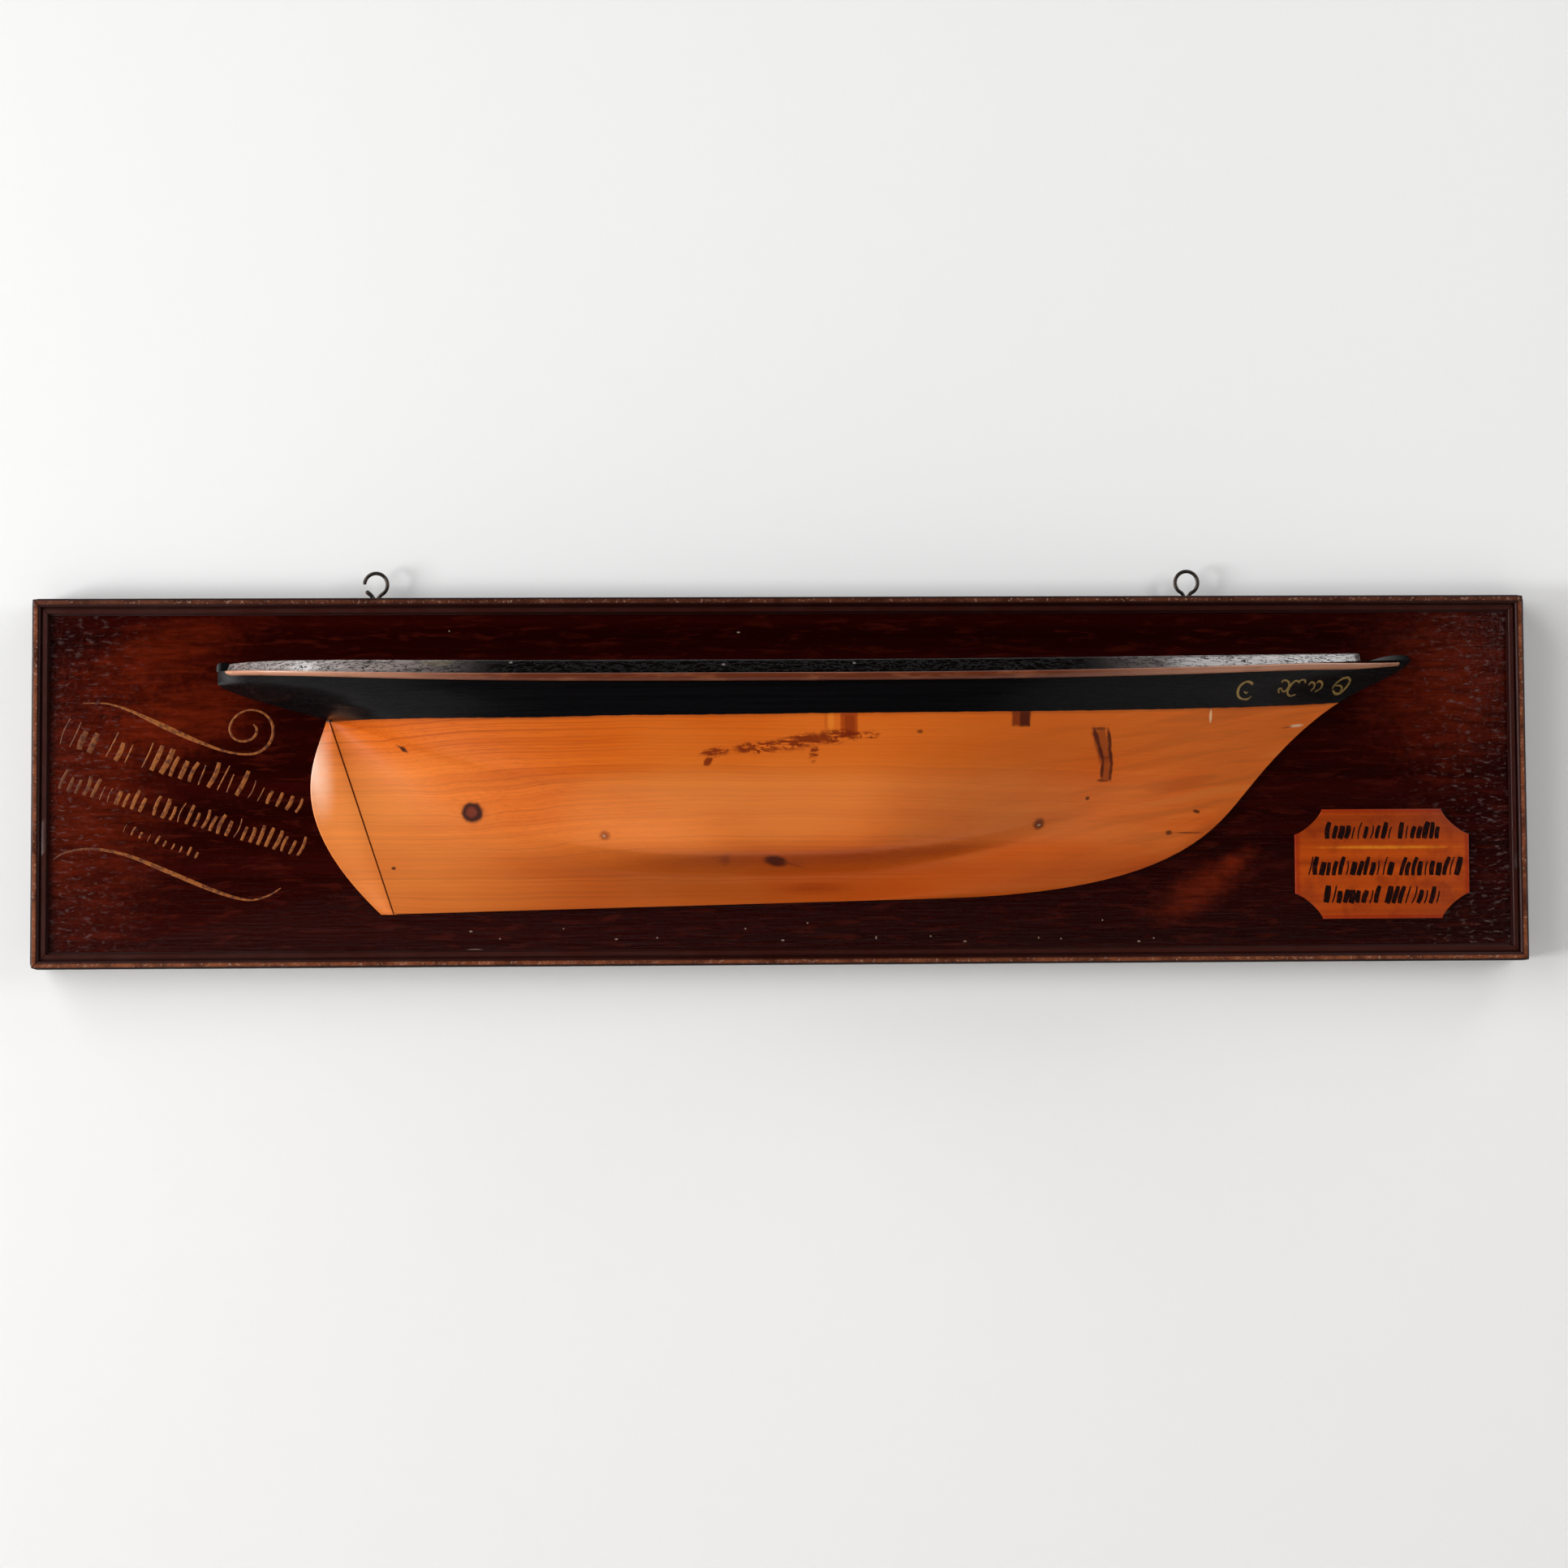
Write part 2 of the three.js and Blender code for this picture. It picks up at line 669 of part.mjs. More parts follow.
const eyes = [
  { name: 'screw_eye_aft', x: -eyeSpacing / 2, opens: true },
  { name: 'screw_eye_fore', x: eyeSpacing / 2, opens: false },
];
const eyeY = -boardThickness / 2;
const eyeCentreZ = boardHeight / 2 + eyeNeck + eyeRadius;

function makeScrewEye(eye) {
  const end = eye.opens ? eyeOpenEnd : eyeClosedEnd;
  const boardTop = -eyeNeck - eyeRadius;
  const route = [
    new THREE.Vector3(0, 0, boardTop - eyeScrewDepth),
    new THREE.Vector3(0, 0, boardTop - eyeWire),
    new THREE.Vector3(0, 0, boardTop),
    new THREE.Vector3(0, 0, boardTop + eyeNeck / 3),
  ];
  for (let i = 0; i <= eyeTurns; i += 1) {
    const angle = THREE.MathUtils.lerp(eyeStart, end, i / eyeTurns);
    route.push(new THREE.Vector3(eyeRadius * Math.cos(angle), 0, eyeRadius * Math.sin(angle)));
  }
  const wire = new THREE.Shape();
  wire.absarc(0, 0, eyeWire / 2, 0, 2 * Math.PI);
  const bent = new THREE.ExtrudeGeometry(wire, {
    steps: eyeSteps, curveSegments: 4, bevelEnabled: false,
    extrudePath: new THREE.CatmullRomCurve3(route),
  });
  bent.translate(eye.x, eyeY, eyeCentreZ);
  return bent;
}

// The plank, bored in its top edge for the two screws.
function makeBackboard() {
  const plank = new THREE.BoxGeometry(boardLength, boardThickness, boardHeight);
  plank.translate(0, -boardThickness / 2, 0);
  let body = solid(plank);
  for (const eye of eyes) {
    const depth = eyeScrewDepth + eyeBoreSpare;
    const bore = new THREE.CylinderGeometry(eyeWire / 2 + eyeBoreClearance,
      eyeWire / 2 + eyeBoreClearance, 2 * depth, roundSides);
    bore.rotateX(Math.PI / 2);
    bore.translate(eye.x, eyeY, boardHeight / 2);
    body = body.subtract(solid(bore));
  }
  return shapeOf(body);
}

// Tablet with scooped corners
function makeTablet() {
  const w = tabletWidth / 2;
  const h = tabletHeight / 2;
  const outline = new THREE.Shape();
  outline.moveTo(-w + tabletScoopWidth, h);
  outline.lineTo(w - tabletScoopWidth, h);
  scoopCorner(outline, w, h, Math.PI);
  scoopCorner(outline, w, -h, Math.PI / 2);
  scoopCorner(outline, -w, -h, 0);
  scoopCorner(outline, -w, h, -Math.PI / 2);
  const plate = new THREE.ExtrudeGeometry(outline, {
    depth: tabletThickness, curveSegments: 8, bevelEnabled: false,
  });
  plate.rotateX(Math.PI / 2);
  plate.translate(boardLength / 2 - tabletFromForeEnd - w, seatY,
    -boardHeight / 2 + tabletFromFoot + h);
  return plate;
}

// A scoop is flatter than a quarter oval, but still hollow.
function scoopCorner(outline, x, z, from) {
  const steps = 8;
  for (let i = 0; i <= steps; i += 1) {
    const angle = from + (Math.PI / 2) * (i / steps);
    const across = Math.cos(angle);
    const up = Math.sin(angle);
    outline.lineTo(
      x + tabletScoopWidth * Math.sign(across) * Math.abs(across) ** tabletScoopFlatness,
      z + tabletScoopHeight * Math.sign(up) * Math.abs(up) ** tabletScoopFlatness,
    );
  }
}

const model = new THREE.Group();

function place(name, geometry, material) {
  const mesh = new THREE.Mesh(geometry, material);
  mesh.name = name;
  model.add(mesh);
}

place('backboard', makeBackboard(), boardVarnish);
for (const side of ['top', 'bottom', 'aft', 'fore']) {
  place(`edge_moulding_${side}`, makeEdgeMoulding(side), mouldingWood);
}
place('half_hull', makeHalfHull(), hullVarnish);
place('sheer_moulding', makeSheerMoulding(), bareWood);
place('top_lift', makeTopLift(), blackPaint);
place('tablet', makeTablet(), tabletPaint);
for (const eye of eyes) place(eye.name, makeScrewEye(eye), darkSteel);
for (const pin of pins) place(pin.name, makePin(pin), pinMetal);

export default model;
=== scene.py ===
# %% [markdown]
# # Ship half hull model
# A half hull is one side of a ship, carved to scale and fixed to a long board to hang on a wall.
# Shipyards carved them first and drew the ship from them. This one has a varnished pine bottom,
# black paint above it, a bare wood strip along the sheer and a black top lift. The solids come
# from the frame. Here each of them gets its fine shape and its finish, in the same place.

# %% Load the frame
import math
import random
from functools import reduce

import bmesh
import bpy
from mathutils import Matrix, Vector, noise


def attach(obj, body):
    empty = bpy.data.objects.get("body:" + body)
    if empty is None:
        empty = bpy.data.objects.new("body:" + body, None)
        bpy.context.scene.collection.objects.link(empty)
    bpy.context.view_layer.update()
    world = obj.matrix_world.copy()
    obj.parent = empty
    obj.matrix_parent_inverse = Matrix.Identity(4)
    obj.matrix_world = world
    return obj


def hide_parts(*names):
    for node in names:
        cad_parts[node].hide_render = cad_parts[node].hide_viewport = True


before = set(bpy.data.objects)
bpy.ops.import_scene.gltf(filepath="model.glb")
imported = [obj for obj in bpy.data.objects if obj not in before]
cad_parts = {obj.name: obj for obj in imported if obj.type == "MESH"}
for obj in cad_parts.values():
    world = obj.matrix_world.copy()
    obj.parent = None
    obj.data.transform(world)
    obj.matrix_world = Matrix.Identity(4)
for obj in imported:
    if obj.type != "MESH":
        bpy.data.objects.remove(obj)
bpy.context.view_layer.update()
print("solids:", ", ".join(sorted(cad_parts)))

# %% [markdown]
# # Sizes
# The shapes are worked out in millimetres, because a model maker would, and are laid down in
# metres. These are the sizes that the solids have, so that every fine piece fits its solid.

# %% Sizes in millimetres
MM = 0.001
BOARD_LENGTH = 1395.0
BOARD_HEIGHT = 344.0
BOARD_THICKNESS = 19.0
BOARD_FACE = -BOARD_THICKNESS
AIR = 0.3
SEAT = BOARD_FACE - AIR

HULL_LENGTH = 1118.7
HULL_HALF_BREADTH = 108.0
HULL_DEPTH = 205.6
KEEL_BELOW_MIDDLE = 113.2
KEEL_HALF = 7.0
STEM_HALF = 4.0
COUNTER_EDGE = 2.0
HULL_MIDDLE = 32.85
HULL_AFT = HULL_MIDDLE - HULL_LENGTH / 2
HULL_FORE = HULL_MIDDLE + HULL_LENGTH / 2
print("hull from", round(HULL_AFT, 1), "to", round(HULL_FORE, 1), "mm along the board")

# %% [markdown]
# # Camera
# The photograph was taken from straight in front, a little below the middle. Its place comes
# from the four corners of the board: where lines to them meet the picture, only one place, turn
# and lens agree with a board of this size.

# %% Camera
CAMERA_PLACE = (-52.6, -2200.0, -86.3)
CAMERA_YAW = math.radians(1.376)
CAMERA_PITCH = math.radians(2.18)
CAMERA_ROLL = math.radians(-0.319)
CAMERA_LENS = 53.65
CAMERA_REACH = 50.0


def camera_turn(yaw, pitch, roll):
    """The camera's right, up and back directions, from its turns."""
    ahead = Vector((math.sin(yaw) * math.cos(pitch), math.cos(yaw) * math.cos(pitch),
                    math.sin(pitch)))
    right = Vector((math.cos(yaw), -math.sin(yaw), 0.0))
    up = right.cross(ahead)
    rolled_right = right * math.cos(roll) + up * math.sin(roll)
    rolled_up = up * math.cos(roll) - right * math.sin(roll)
    return Matrix((rolled_right, rolled_up, -ahead)).transposed()


camera_data = bpy.data.cameras.new("camera")
camera_data.lens = CAMERA_LENS
camera_data.clip_end = CAMERA_REACH
camera = bpy.data.objects.new("camera", camera_data)
turn = camera_turn(CAMERA_YAW, CAMERA_PITCH, CAMERA_ROLL)
camera.matrix_world = Matrix.Translation(Vector(CAMERA_PLACE) * MM) @ turn.to_4x4()
bpy.context.scene.collection.objects.link(camera)
bpy.context.scene.camera = camera
print("camera at", [round(v * MM, 3) for v in CAMERA_PLACE], "lens", CAMERA_LENS)

# %% [markdown]
# # Helpers for shapes
# Most pieces here are long and bend slowly, like planks. A flat grid can be laid over any such
# face: each of its points knows how far along and how far across it is, and a function says
# where that point goes. A grid rolled round until its two long sides meet makes a closed bar.
# This keeps the mesh even and the sizes in one place.


# %% Helpers for shapes
def mix(a, b, share):
    return a + (b - a) * share


def clamp(value, low=0.0, high=1.0):
    return max(low, min(high, value))


def smooth(value, low, high):
    """0 below low, 1 above high, and a soft step between."""
    t = clamp((value - low) / (high - low))
    return t * t * (3 - 2 * t)


def shaped_grid(bm, along, across, place):
    """A grid of along by across faces, whose points go where place(s, t) says."""
    made = bmesh.ops.create_grid(bm, x_segments=along, y_segments=across, size=1.0)
    for vert in made["verts"]:
        vert.co = Vector(place((vert.co.x + 1) / 2, (vert.co.y + 1) / 2)) * MM
    return made["verts"]


def rolled_bar(bm, along, across, place):
    """A closed bar: a grid whose long sides meet, with a flat cap on each end."""
    verts = shaped_grid(bm, along, across, place)
    bmesh.ops.remove_doubles(bm, verts=verts, dist=0.001 * MM)
    open_rim = [edge for edge in bm.edges if edge.is_boundary]
    bmesh.ops.holes_fill(bm, edges=open_rim)
    bmesh.ops.recalc_face_normals(bm, faces=bm.faces)


def backed(bm, y):
    """Carries the open rim of a face straight back to the plane at y and closes it there."""
    rim = [edge for edge in bm.edges if edge.is_boundary]
    made = bmesh.ops.extrude_edge_only(bm, edges=rim)["geom"]
    for vert in made:
        if isinstance(vert, bmesh.types.BMVert):
            vert.co.y = y * MM
    behind = [edge for edge in made if isinstance(edge, bmesh.types.BMEdge) and edge.is_boundary]
    bmesh.ops.triangle_fill(bm, use_beauty=False, use_dissolve=False, edges=behind)
    bmesh.ops.recalc_face_normals(bm, faces=bm.faces)


def eased(bm, edges, width, segments=3):
    """Rounds edges by a width in millimetres."""
    bmesh.ops.bevel(bm, geom=edges, offset=width * MM, offset_type="OFFSET", segments=segments,
                    profile=0.5, affect="EDGES", material=-1)


def add_shell(whole, shell):
    """Adds one bmesh to another and uses it up."""
    part = bpy.data.meshes.new("part")
    shell.to_mesh(part)
    shell.free()
    whole.from_mesh(part)
    bpy.data.meshes.remove(part)


def joined(*shells):
    """One bmesh from several."""
    whole = bmesh.new()
    for shell in shells:
        add_shell(whole, shell)
    return whole


def finished(name, bm, finish, stands_for=(), sharp=35.0):
    """A bmesh made a piece: smooth but for its sharp edges, with its finish, on the one body."""
    mesh = bpy.data.meshes.new(name)
    bm.to_mesh(mesh)
    bm.free()
    mesh.shade_smooth()
    mesh.set_sharp_from_angle(angle=math.radians(sharp))
    mesh.materials.append(finish.material)
    piece = bpy.data.objects.new(name, mesh)
    bpy.context.scene.collection.objects.link(piece)
    if stands_for:
        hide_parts(*stands_for)
    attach(piece, "root")
    mesh.calc_loop_triangles()
    print(name, "triangles:", len(mesh.loop_triangles))


# %% [markdown]
# # Helpers for finishes
# A finish is a chain of small steps: a noise makes streaks, a ramp turns them into a share, and
# colours are laid one over another by such shares. What flows between the steps is a wire. A
# wire can be added and multiplied like a number, and each such step adds the node for it.


# %% Helpers for finishes
def linear(hex_colour):
    """A colour as screens show it, such as 0xb5602c, as the linear values that nodes use."""
    parts = [((hex_colour >> shift) & 255) / 255 for shift in (16, 8, 0)]
    return [c / 12.92 if c <= 0.04045 else ((c + 0.055) / 1.055) ** 2.4 for c in parts] + [1.0]


class Wire:
    """What flows out of a node."""

    def __init__(self, steps, socket):
        self.steps, self.socket = steps, socket

    def __add__(self, other):
        return self.steps.math("ADD", self, other)

    def __sub__(self, other):
        return self.steps.math("SUBTRACT", self, other)

    def __rsub__(self, other):
        return self.steps.math("SUBTRACT", other, self)

    def __mul__(self, other):
        return self.steps.math("MULTIPLY", self, other)

    def __truediv__(self, other):
        return self.steps.math("DIVIDE", self, other)

    def __abs__(self):
        return self.steps.math("ABSOLUTE", self)

    def or_more(self, other):
        return self.steps.math("MAXIMUM", self, other)

    def ramp(self, low, high, to_low=0.0, to_high=1.0, kind="SMOOTHSTEP"):
        """The wire carried from the range low to high over to the range to_low to to_high."""
        numbers = dict(enumerate((self, low, high, to_low, to_high)))
        return self.steps.wire("MapRange", numbers, interpolation_type=kind)

    def noise(self, scale, detail=3.0, roughness=0.55, distortion=0.0):
        """A noise of one scale, or stretched by a scale for each direction."""
        place = self
        if isinstance(scale, tuple):
            place, scale = self.steps.wire("Mapping", {"Vector": self, "Scale": scale}), 1.0
        return self.steps.wire("TexNoise", {"Vector": place, "Scale": scale, "Detail": detail,
                                            "Roughness": roughness, "Distortion": distortion})

    def apart(self):
        """The wires of x, y and z."""
        made = self.steps.node("SeparateXYZ", {"Vector": self})
        return [Wire(self.steps, socket) for socket in made.outputs]


class Steps:
    """Adds nodes to a material, a node group or a world."""

    def __init__(self, tree):
        self.tree = tree

    def put(self, socket, value):
        if isinstance(value, Wire):
            self.tree.links.new(value.socket, socket)
        elif isinstance(value, int) and socket.type == "RGBA":
            socket.default_value = linear(value)
        else:
            socket.default_value = value

    def node(self, kind, values=(), **settings):
        made = self.tree.nodes.new("ShaderNode" + kind)
        for name, value in settings.items():
            setattr(made, name, value)
        for name, value in dict(values).items():
            self.put(made.inputs[name], value)
        return made

    def wire(self, kind, values=(), out=0, **settings):
        return Wire(self, self.node(kind, values, **settings).outputs[out])

    def math(self, what, *values):
        return self.wire("Math", dict(enumerate(values)), operation=what)

    def vector(self, what, *values, out=0):
        return self.wire("VectorMath", dict(enumerate(values)), out, operation=what)

    def group(self, tree, values):
        """A node group's outputs by name."""
        made = self.node("Group", node_tree=tree)
        for name, value in values.items():
            self.put(made.inputs[name], value)
        return {socket.name: Wire(self, socket) for socket in made.outputs}

    def mixed(self, share, a, b):
        return self.wire("Mix", {0: share, 6: a, 7: b}, 2, data_type="RGBA", clamp_factor=True)

    def layered(self, base, layers):
        """Colours laid over a base, each a (share, colour)."""
        for share, colour in layers:
            base = self.mixed(share, base, colour)
        return base

    def bump(self, height, distance):
        return self.wire("Bump", {"Height": height, "Distance": distance, "Strength": 1.0})


class Finish(Steps):
    """A material with its surface node and its object coordinates."""

    def __init__(self, name):
        self.material = bpy.data.materials.new(name)
        self.material.use_nodes = True
        super().__init__(self.material.node_tree)
        self.surface = self.tree.nodes["Principled BSDF"]
        self.coords = self.wire("TexCoord", out="Object")

    def show(self, colour, roughness, **more):
        """Sets the surface's colour and roughness, and more inputs, such as Coat_Weight."""
        for name, value in {"Base_Color": colour, "Roughness": roughness, **more}.items():
            self.put(self.surface.inputs[name.replace("_", " ")], value)
        print(self.material.name, "nodes:", len(self.tree.nodes))


def new_group(name, inputs, outputs):
    """A node group, its steps, its input wires and its output sockets, by name."""
    tree = bpy.data.node_groups.new(name, "ShaderNodeTree")
    for label, kind, value in inputs:
        socket = tree.interface.new_socket(name=label, in_out="INPUT",
                                           socket_type="NodeSocket" + kind)
        if value is not None:
            socket.default_value = value
    for label in outputs:
        tree.interface.new_socket(name=label, in_out="OUTPUT", socket_type="NodeSocketFloat")
    steps = Steps(tree)
    given = {s.name: Wire(steps, s) for s in tree.nodes.new("NodeGroupInput").outputs}
    return tree, steps, given, tree.nodes.new("NodeGroupOutput").inputs


# %% [markdown]
# # Wood grain
# A plank shows its growth rings as long lines: wide soft bands, narrow dark lines and very fine
# fibres. A noise stretched along the grain gives each of the three. Pine, mahogany and bare wood
# differ only in how close and how wavy their lines are, so the grain is one group with these two
# as inputs.

# %% Wood grain group
grain_group, grain_steps, given, grain_out = new_group(
    "wood_grain",
    [("Vector", "Vector", None), ("Spacing", "Float", 0.01), ("Waviness", "Float", 0.004)],
    ["Bands", "Lines", "Fibres"])
bend = given["Vector"].noise((1.6, 9.0, 9.0), detail=2.0)
ripple = given["Vector"].noise((11.0, 26.0, 26.0), detail=1.0)
sway = bend + (ripple - 0.5) * 0.35
along, inward, up = given["Vector"].apart()
across = (up + (sway - 0.5) * given["Waviness"] + inward * 0.07) / given["Spacing"]
grain_place = grain_steps.wire("CombineXYZ", {"X": along * 0.6, "Y": across})
grain_steps.put(grain_out["Bands"], grain_place.noise(0.5, detail=2.0))
grain_steps.put(grain_out["Lines"], grain_place.noise((1.0, 3.1, 1.0), roughness=0.65))
grain_steps.put(grain_out["Fibres"], given["Vector"].noise((14.0, 260.0, 900.0), 2.0, 0.7))
print("group:", grain_group.name)


def grain(steps, coords, spacing, waviness):
    return steps.group(grain_group, {"Vector": coords, "Spacing": spacing, "Waviness": waviness})


# %% [markdown]
# # Marks on the wood
# Knots, pins, stains and scuffs each sit at one place. One group measures how far a point is
# from such a place, as an oval or a rectangle with a ragged edge, and gives 1 in its middle and
# 0 outside. Each mark then only states its middle, its size and its softness.

# %% Mark group
mark_group, mark_steps, given, mark_out = new_group(
    "mark",
    [("Vector", "Vector", None), ("Middle", "Vector", None), ("Size", "Vector", (0.01, 1.0, 0.01)),
     ("Turn", "Float", 0.0), ("Ragged", "Float", 0.2), ("Softness", "Float", 0.3),
     ("Square", "Float", 0.0)],
    ["Mask"])
offset = mark_steps.vector("SUBTRACT", given["Vector"], given["Middle"])
turned = mark_steps.wire("VectorRotate", {"Vector": offset, "Angle": given["Turn"]},
                         rotation_type="Y_AXIS")
in_sizes = mark_steps.vector("DIVIDE", turned, given["Size"])
flat = mark_steps.vector("MULTIPLY", in_sizes, (1.0, 0.0, 1.0))
side_x, _, side_z = mark_steps.vector("ABSOLUTE", flat).apart()
oval = mark_steps.vector("LENGTH", flat, out="Value")
shape = mark_steps.wire("Mix", {0: given["Square"], 2: oval, 3: side_x.or_more(side_z)})
distance = shape + (given["Vector"].noise(180.0) - 0.5) * given["Ragged"]
mark_steps.put(mark_out["Mask"], distance.ramp(1.0, 1.0 - given["Softness"]))
print("group:", mark_group.name)


def mark(finish, x, z, wide, high, turn=0.0, ragged=0.2, soft=0.3, square=0.0):
    """The mask of one mark, with its middle and half sizes in millimetres."""
    return finish.group(mark_group, {
        "Vector": finish.coords, "Middle": (x * MM, 0.0, z * MM),
        "Size": (wide * MM, 1.0, high * MM), "Turn": math.radians(turn), "Ragged": ragged,
        "Softness": soft, "Square": square})["Mask"]


# %% [markdown]
# # Hull finish
# The bottom is pine under an amber varnish. It is paler aft, partly as painted light from the left,
# and redder forward, with knots, two pins set in dark rings, a scuffed patch and a few stains.
# Painted shade darkens the floor under the turn of the bilge, and a painted highlight pales the
# rudder's after edge. The topside is black gloss paint down to a line that rises at both ends, with
# a thin painted shade just under it. Both are on one carved block, so they are one material with a
# mask, and the paint has an edge as crisp as a brush leaves it.

# %% Marks on the hull
DARK_WOOD = 0x300f05
HULL_MARKS = [
    # x, z, half width, half height, turn, ragged, softness, strength, colour
    (-286.0, -29.8, 22.0, 13.0, 0, 0.6, 1.0, 0.35, 0x9c4a24),
    (-287.0, -29.4, 12.2, 11.2, 0, 0.35, 0.35, 0.97, 0x280804),
    (-287.6, -29.0, 7.0, 6.6, 0, 0.5, 0.6, 0.85, 0x6e2c1a),
    # painted shade: these five darken the floor under the turn of the bilge, where it faces down
    (-60.0, -74.5, 120.0, 11.0, 1, 0.1, 1.0, 0.62, 0x822a00),
    (55.0, -72.5, 125.0, 11.0, 2, 0.1, 1.0, 0.62, 0x822a00),
    (140.0, -66.0, 75.0, 8.0, 5, 0.1, 0.9, 0.5, 0x8a3000),
    (395.0, -52.0, 60.0, 16.0, 40, 0.3, 1.0, 0.35, 0x803004),
    (25.0, -101.0, 48.0, 8.0, 0, 0.4, 1.0, 0.4, 0x802404),
    (-9.6, -75.5, 14.5, 6.0, -10, 0.45, 0.55, 0.97, 0x340a04),
    (8.0, -77.0, 16.0, 5.0, -8, 0.6, 0.9, 0.4, 0x8c3a10),
    (-55.0, -74.0, 7.5, 7.0, 25, 0.9, 0.9, 0.7, 0x6c2a10),
    (-348.8, 28.6, 4.6, 2.8, -30, 0.6, 0.6, 0.95, DARK_WOOD),
    (-362.5, -80.1, 3.2, 2.2, 0, 0.5, 0.6, 0.9, DARK_WOOD),
    (119.0, 39.1, 3.8, 2.2, 0, 0.6, 0.6, 0.7, DARK_WOOD),
    (276.4, -19.6, 3.0, 2.4, 0, 0.6, 0.6, 0.8, DARK_WOOD),
    (383.5, -31.1, 4.8, 2.2, -15, 0.6, 0.6, 0.85, DARK_WOOD),
    (357.3, -50.7, 4.4, 3.0, 0, 0.6, 0.6, 0.8, DARK_WOOD),
    (-163.5, -51.7, 7.0, 6.4, 0, 0.5, 0.7, 0.75, 0x7a3414),
    (231.5, -42.9, 7.4, 6.8, 0, 0.5, 0.6, 0.85, 0x5c2410),
    (39.5, 48.5, 3.4, 13.0, 0, 0.3, 0.5, 0.35, 0xe08a2c),
    (34.6, 47.5, 1.6, 11.0, 0, 0.3, 0.5, 0.4, 0x9a4410),
]
SQUARE_STAINS = [
    # x, z, half width, half height, turn, strength, colour
    (55.6, 46.0, 9.0, 13.5, 0, 0.8, 0x8e3204),
    (56.2, 45.0, 5.2, 10.0, 0, 0.45, 0x6c1c02),
    (211.0, 53.0, 9.8, 10.0, 0, 0.85, 0x6a2004),
    (214.5, 52.0, 5.4, 9.0, 0, 0.75, 0x360a02),
    (287.4, 28.0, 7.4, 17.0, 18, 0.62, 0x742c0a),
    (293.0, 8.0, 5.6, 13.5, 3, 0.62, 0x742c0a),
]
STREAKS = [
    # from x, z to x, z, half width, strength, colour
    (278.7, 43.5, 285.0, 27.5, 2.8, 0.95, 0x521a06),
    (283.7, 31.0, 289.7, 13.0, 2.6, 0.95, 0x521a06),
    (289.2, 17.0, 288.5, -3.6, 2.2, 0.92, 0x521a06),
    (292.4, 43.5, 296.0, 25.0, 2.5, 0.95, 0x521a06),
    (294.2, 28.5, 298.2, 10.0, 2.6, 0.95, 0x521a06),
    (298.0, 14.0, 296.6, -3.6, 2.2, 0.92, 0x5a2008),
    (277.0, 42.6, 290.0, 43.0, 1.7, 0.8, 0x6e2e10),
    (284.0, -3.2, 295.4, -3.8, 1.8, 0.85, 0x6e2e10),
    (390.0, 61.8, 390.6, 50.0, 1.6, 0.85, 0xf0c898),
    (472.0, 47.8, 487.0, 49.6, 1.8, 0.8, 0xe8c4a0),
    (463.0, 45.6, 476.0, 48.4, 1.2, 0.5, 0x6a2a10),
    (357.0, -50.6, 396.0, -51.2, 0.8, 0.7, DARK_WOOD),
    (-3.0, -76.0, 18.0, -82.0, 1.4, 0.5, 0x6a2408),
    (-70.0, -73.0, -52.0, -70.5, 1.2, 0.45, 0x7a3210),
    (-356.0, 33.0, -344.0, 25.0, 1.3, 0.75, DARK_WOOD),
]
SCUFFED = [(-64, 21, 16, 5.5, 8), (-70, 14, 4, 9, -35), (-24, 25.5, 32, 7, 4), (12, 30, 32, 8.5, 8),
           (46, 35, 28, 8, 4), (72, 36, 12, 5, 0), (24, 20, 5, 10, -15)]
# the scored line down the sternpost passes this place, in metres, at right angles to this
POST_AFT, POST_UP = 0.4218, 0.0570
POST_ACROSS = (0.9493, 0.3145)
print("marks on the hull:", len(HULL_MARKS + SQUARE_STAINS + STREAKS + SCUFFED))

# %% Pine under amber varnish
hull_finish = Finish("hull_finish")
along, _, up = hull_finish.coords.apart()
knot_pull = mark(hull_finish, -287, -29.4, 34, 22, ragged=0.0, soft=1.0) * 0.005
pulled = hull_finish.vector("ADD", hull_finish.coords,
                            hull_finish.wire("CombineXYZ", {"Z": knot_pull}))
pine = grain(hull_finish, pulled, 0.0065, 0.015)
tilted = hull_finish.wire("CombineXYZ", {"X": along * 7.0, "Y": (up - along * 0.16) * 95.0})
figure = tilted.noise(1.0, detail=4.0, roughness=0.6, distortion=0.6)
figured = along.ramp(0.1, 0.33)
amidships = along.ramp(-0.26, -0.1) * along.ramp(0.42, 0.25)
layers = [
    (pine["Lines"].ramp(0.47, 0.66) * 0.55, 0x8c360a),
    (pine["Fibres"].ramp(0.45, 0.75) * 0.35, 0x8e380a),
    (along.ramp(-0.05, 0.45, kind="LINEAR") * 0.75, 0xf0620e),
    (figured * figure.ramp(0.48, 0.64, 0.0, 0.42), 0xa03c08),
    (figured * figure.ramp(0.46, 0.32, 0.0, 0.32), 0xe8843e),
    (hull_finish.coords.noise((3.2, 3.2, 7.0)).ramp(0.42, 0.62) * 0.3, 0xd8853a),
    (amidships * up.ramp(-0.005, 0.022) * 0.4, 0xc65400),
    (amidships * (up.ramp(0.012, -0.012) * up.ramp(-0.07, -0.05)) * 0.25, 0xdc8448),
    # partly the wood's tone and partly painted light: the run aft is paler, where the light from
    # the left falls
    (along.ramp(-0.2, -0.42) * up.ramp(0.045, -0.005) * 0.4, 0xe6944c),
    # painted shade: darker low down, on the floor and deadwood that face down
    (up.ramp(-0.05, -0.085) * along.ramp(-0.36, -0.14, 0.35, 1.0) * 0.5, 0x9e3c08)]
for *place, strength, colour in HULL_MARKS:
    layers.append((mark(hull_finish, *place) * strength, colour))
for *place, strength, colour in SQUARE_STAINS:
    layers.append((mark(hull_finish, *place, 0.3, 0.3, 1.0) * strength, colour))
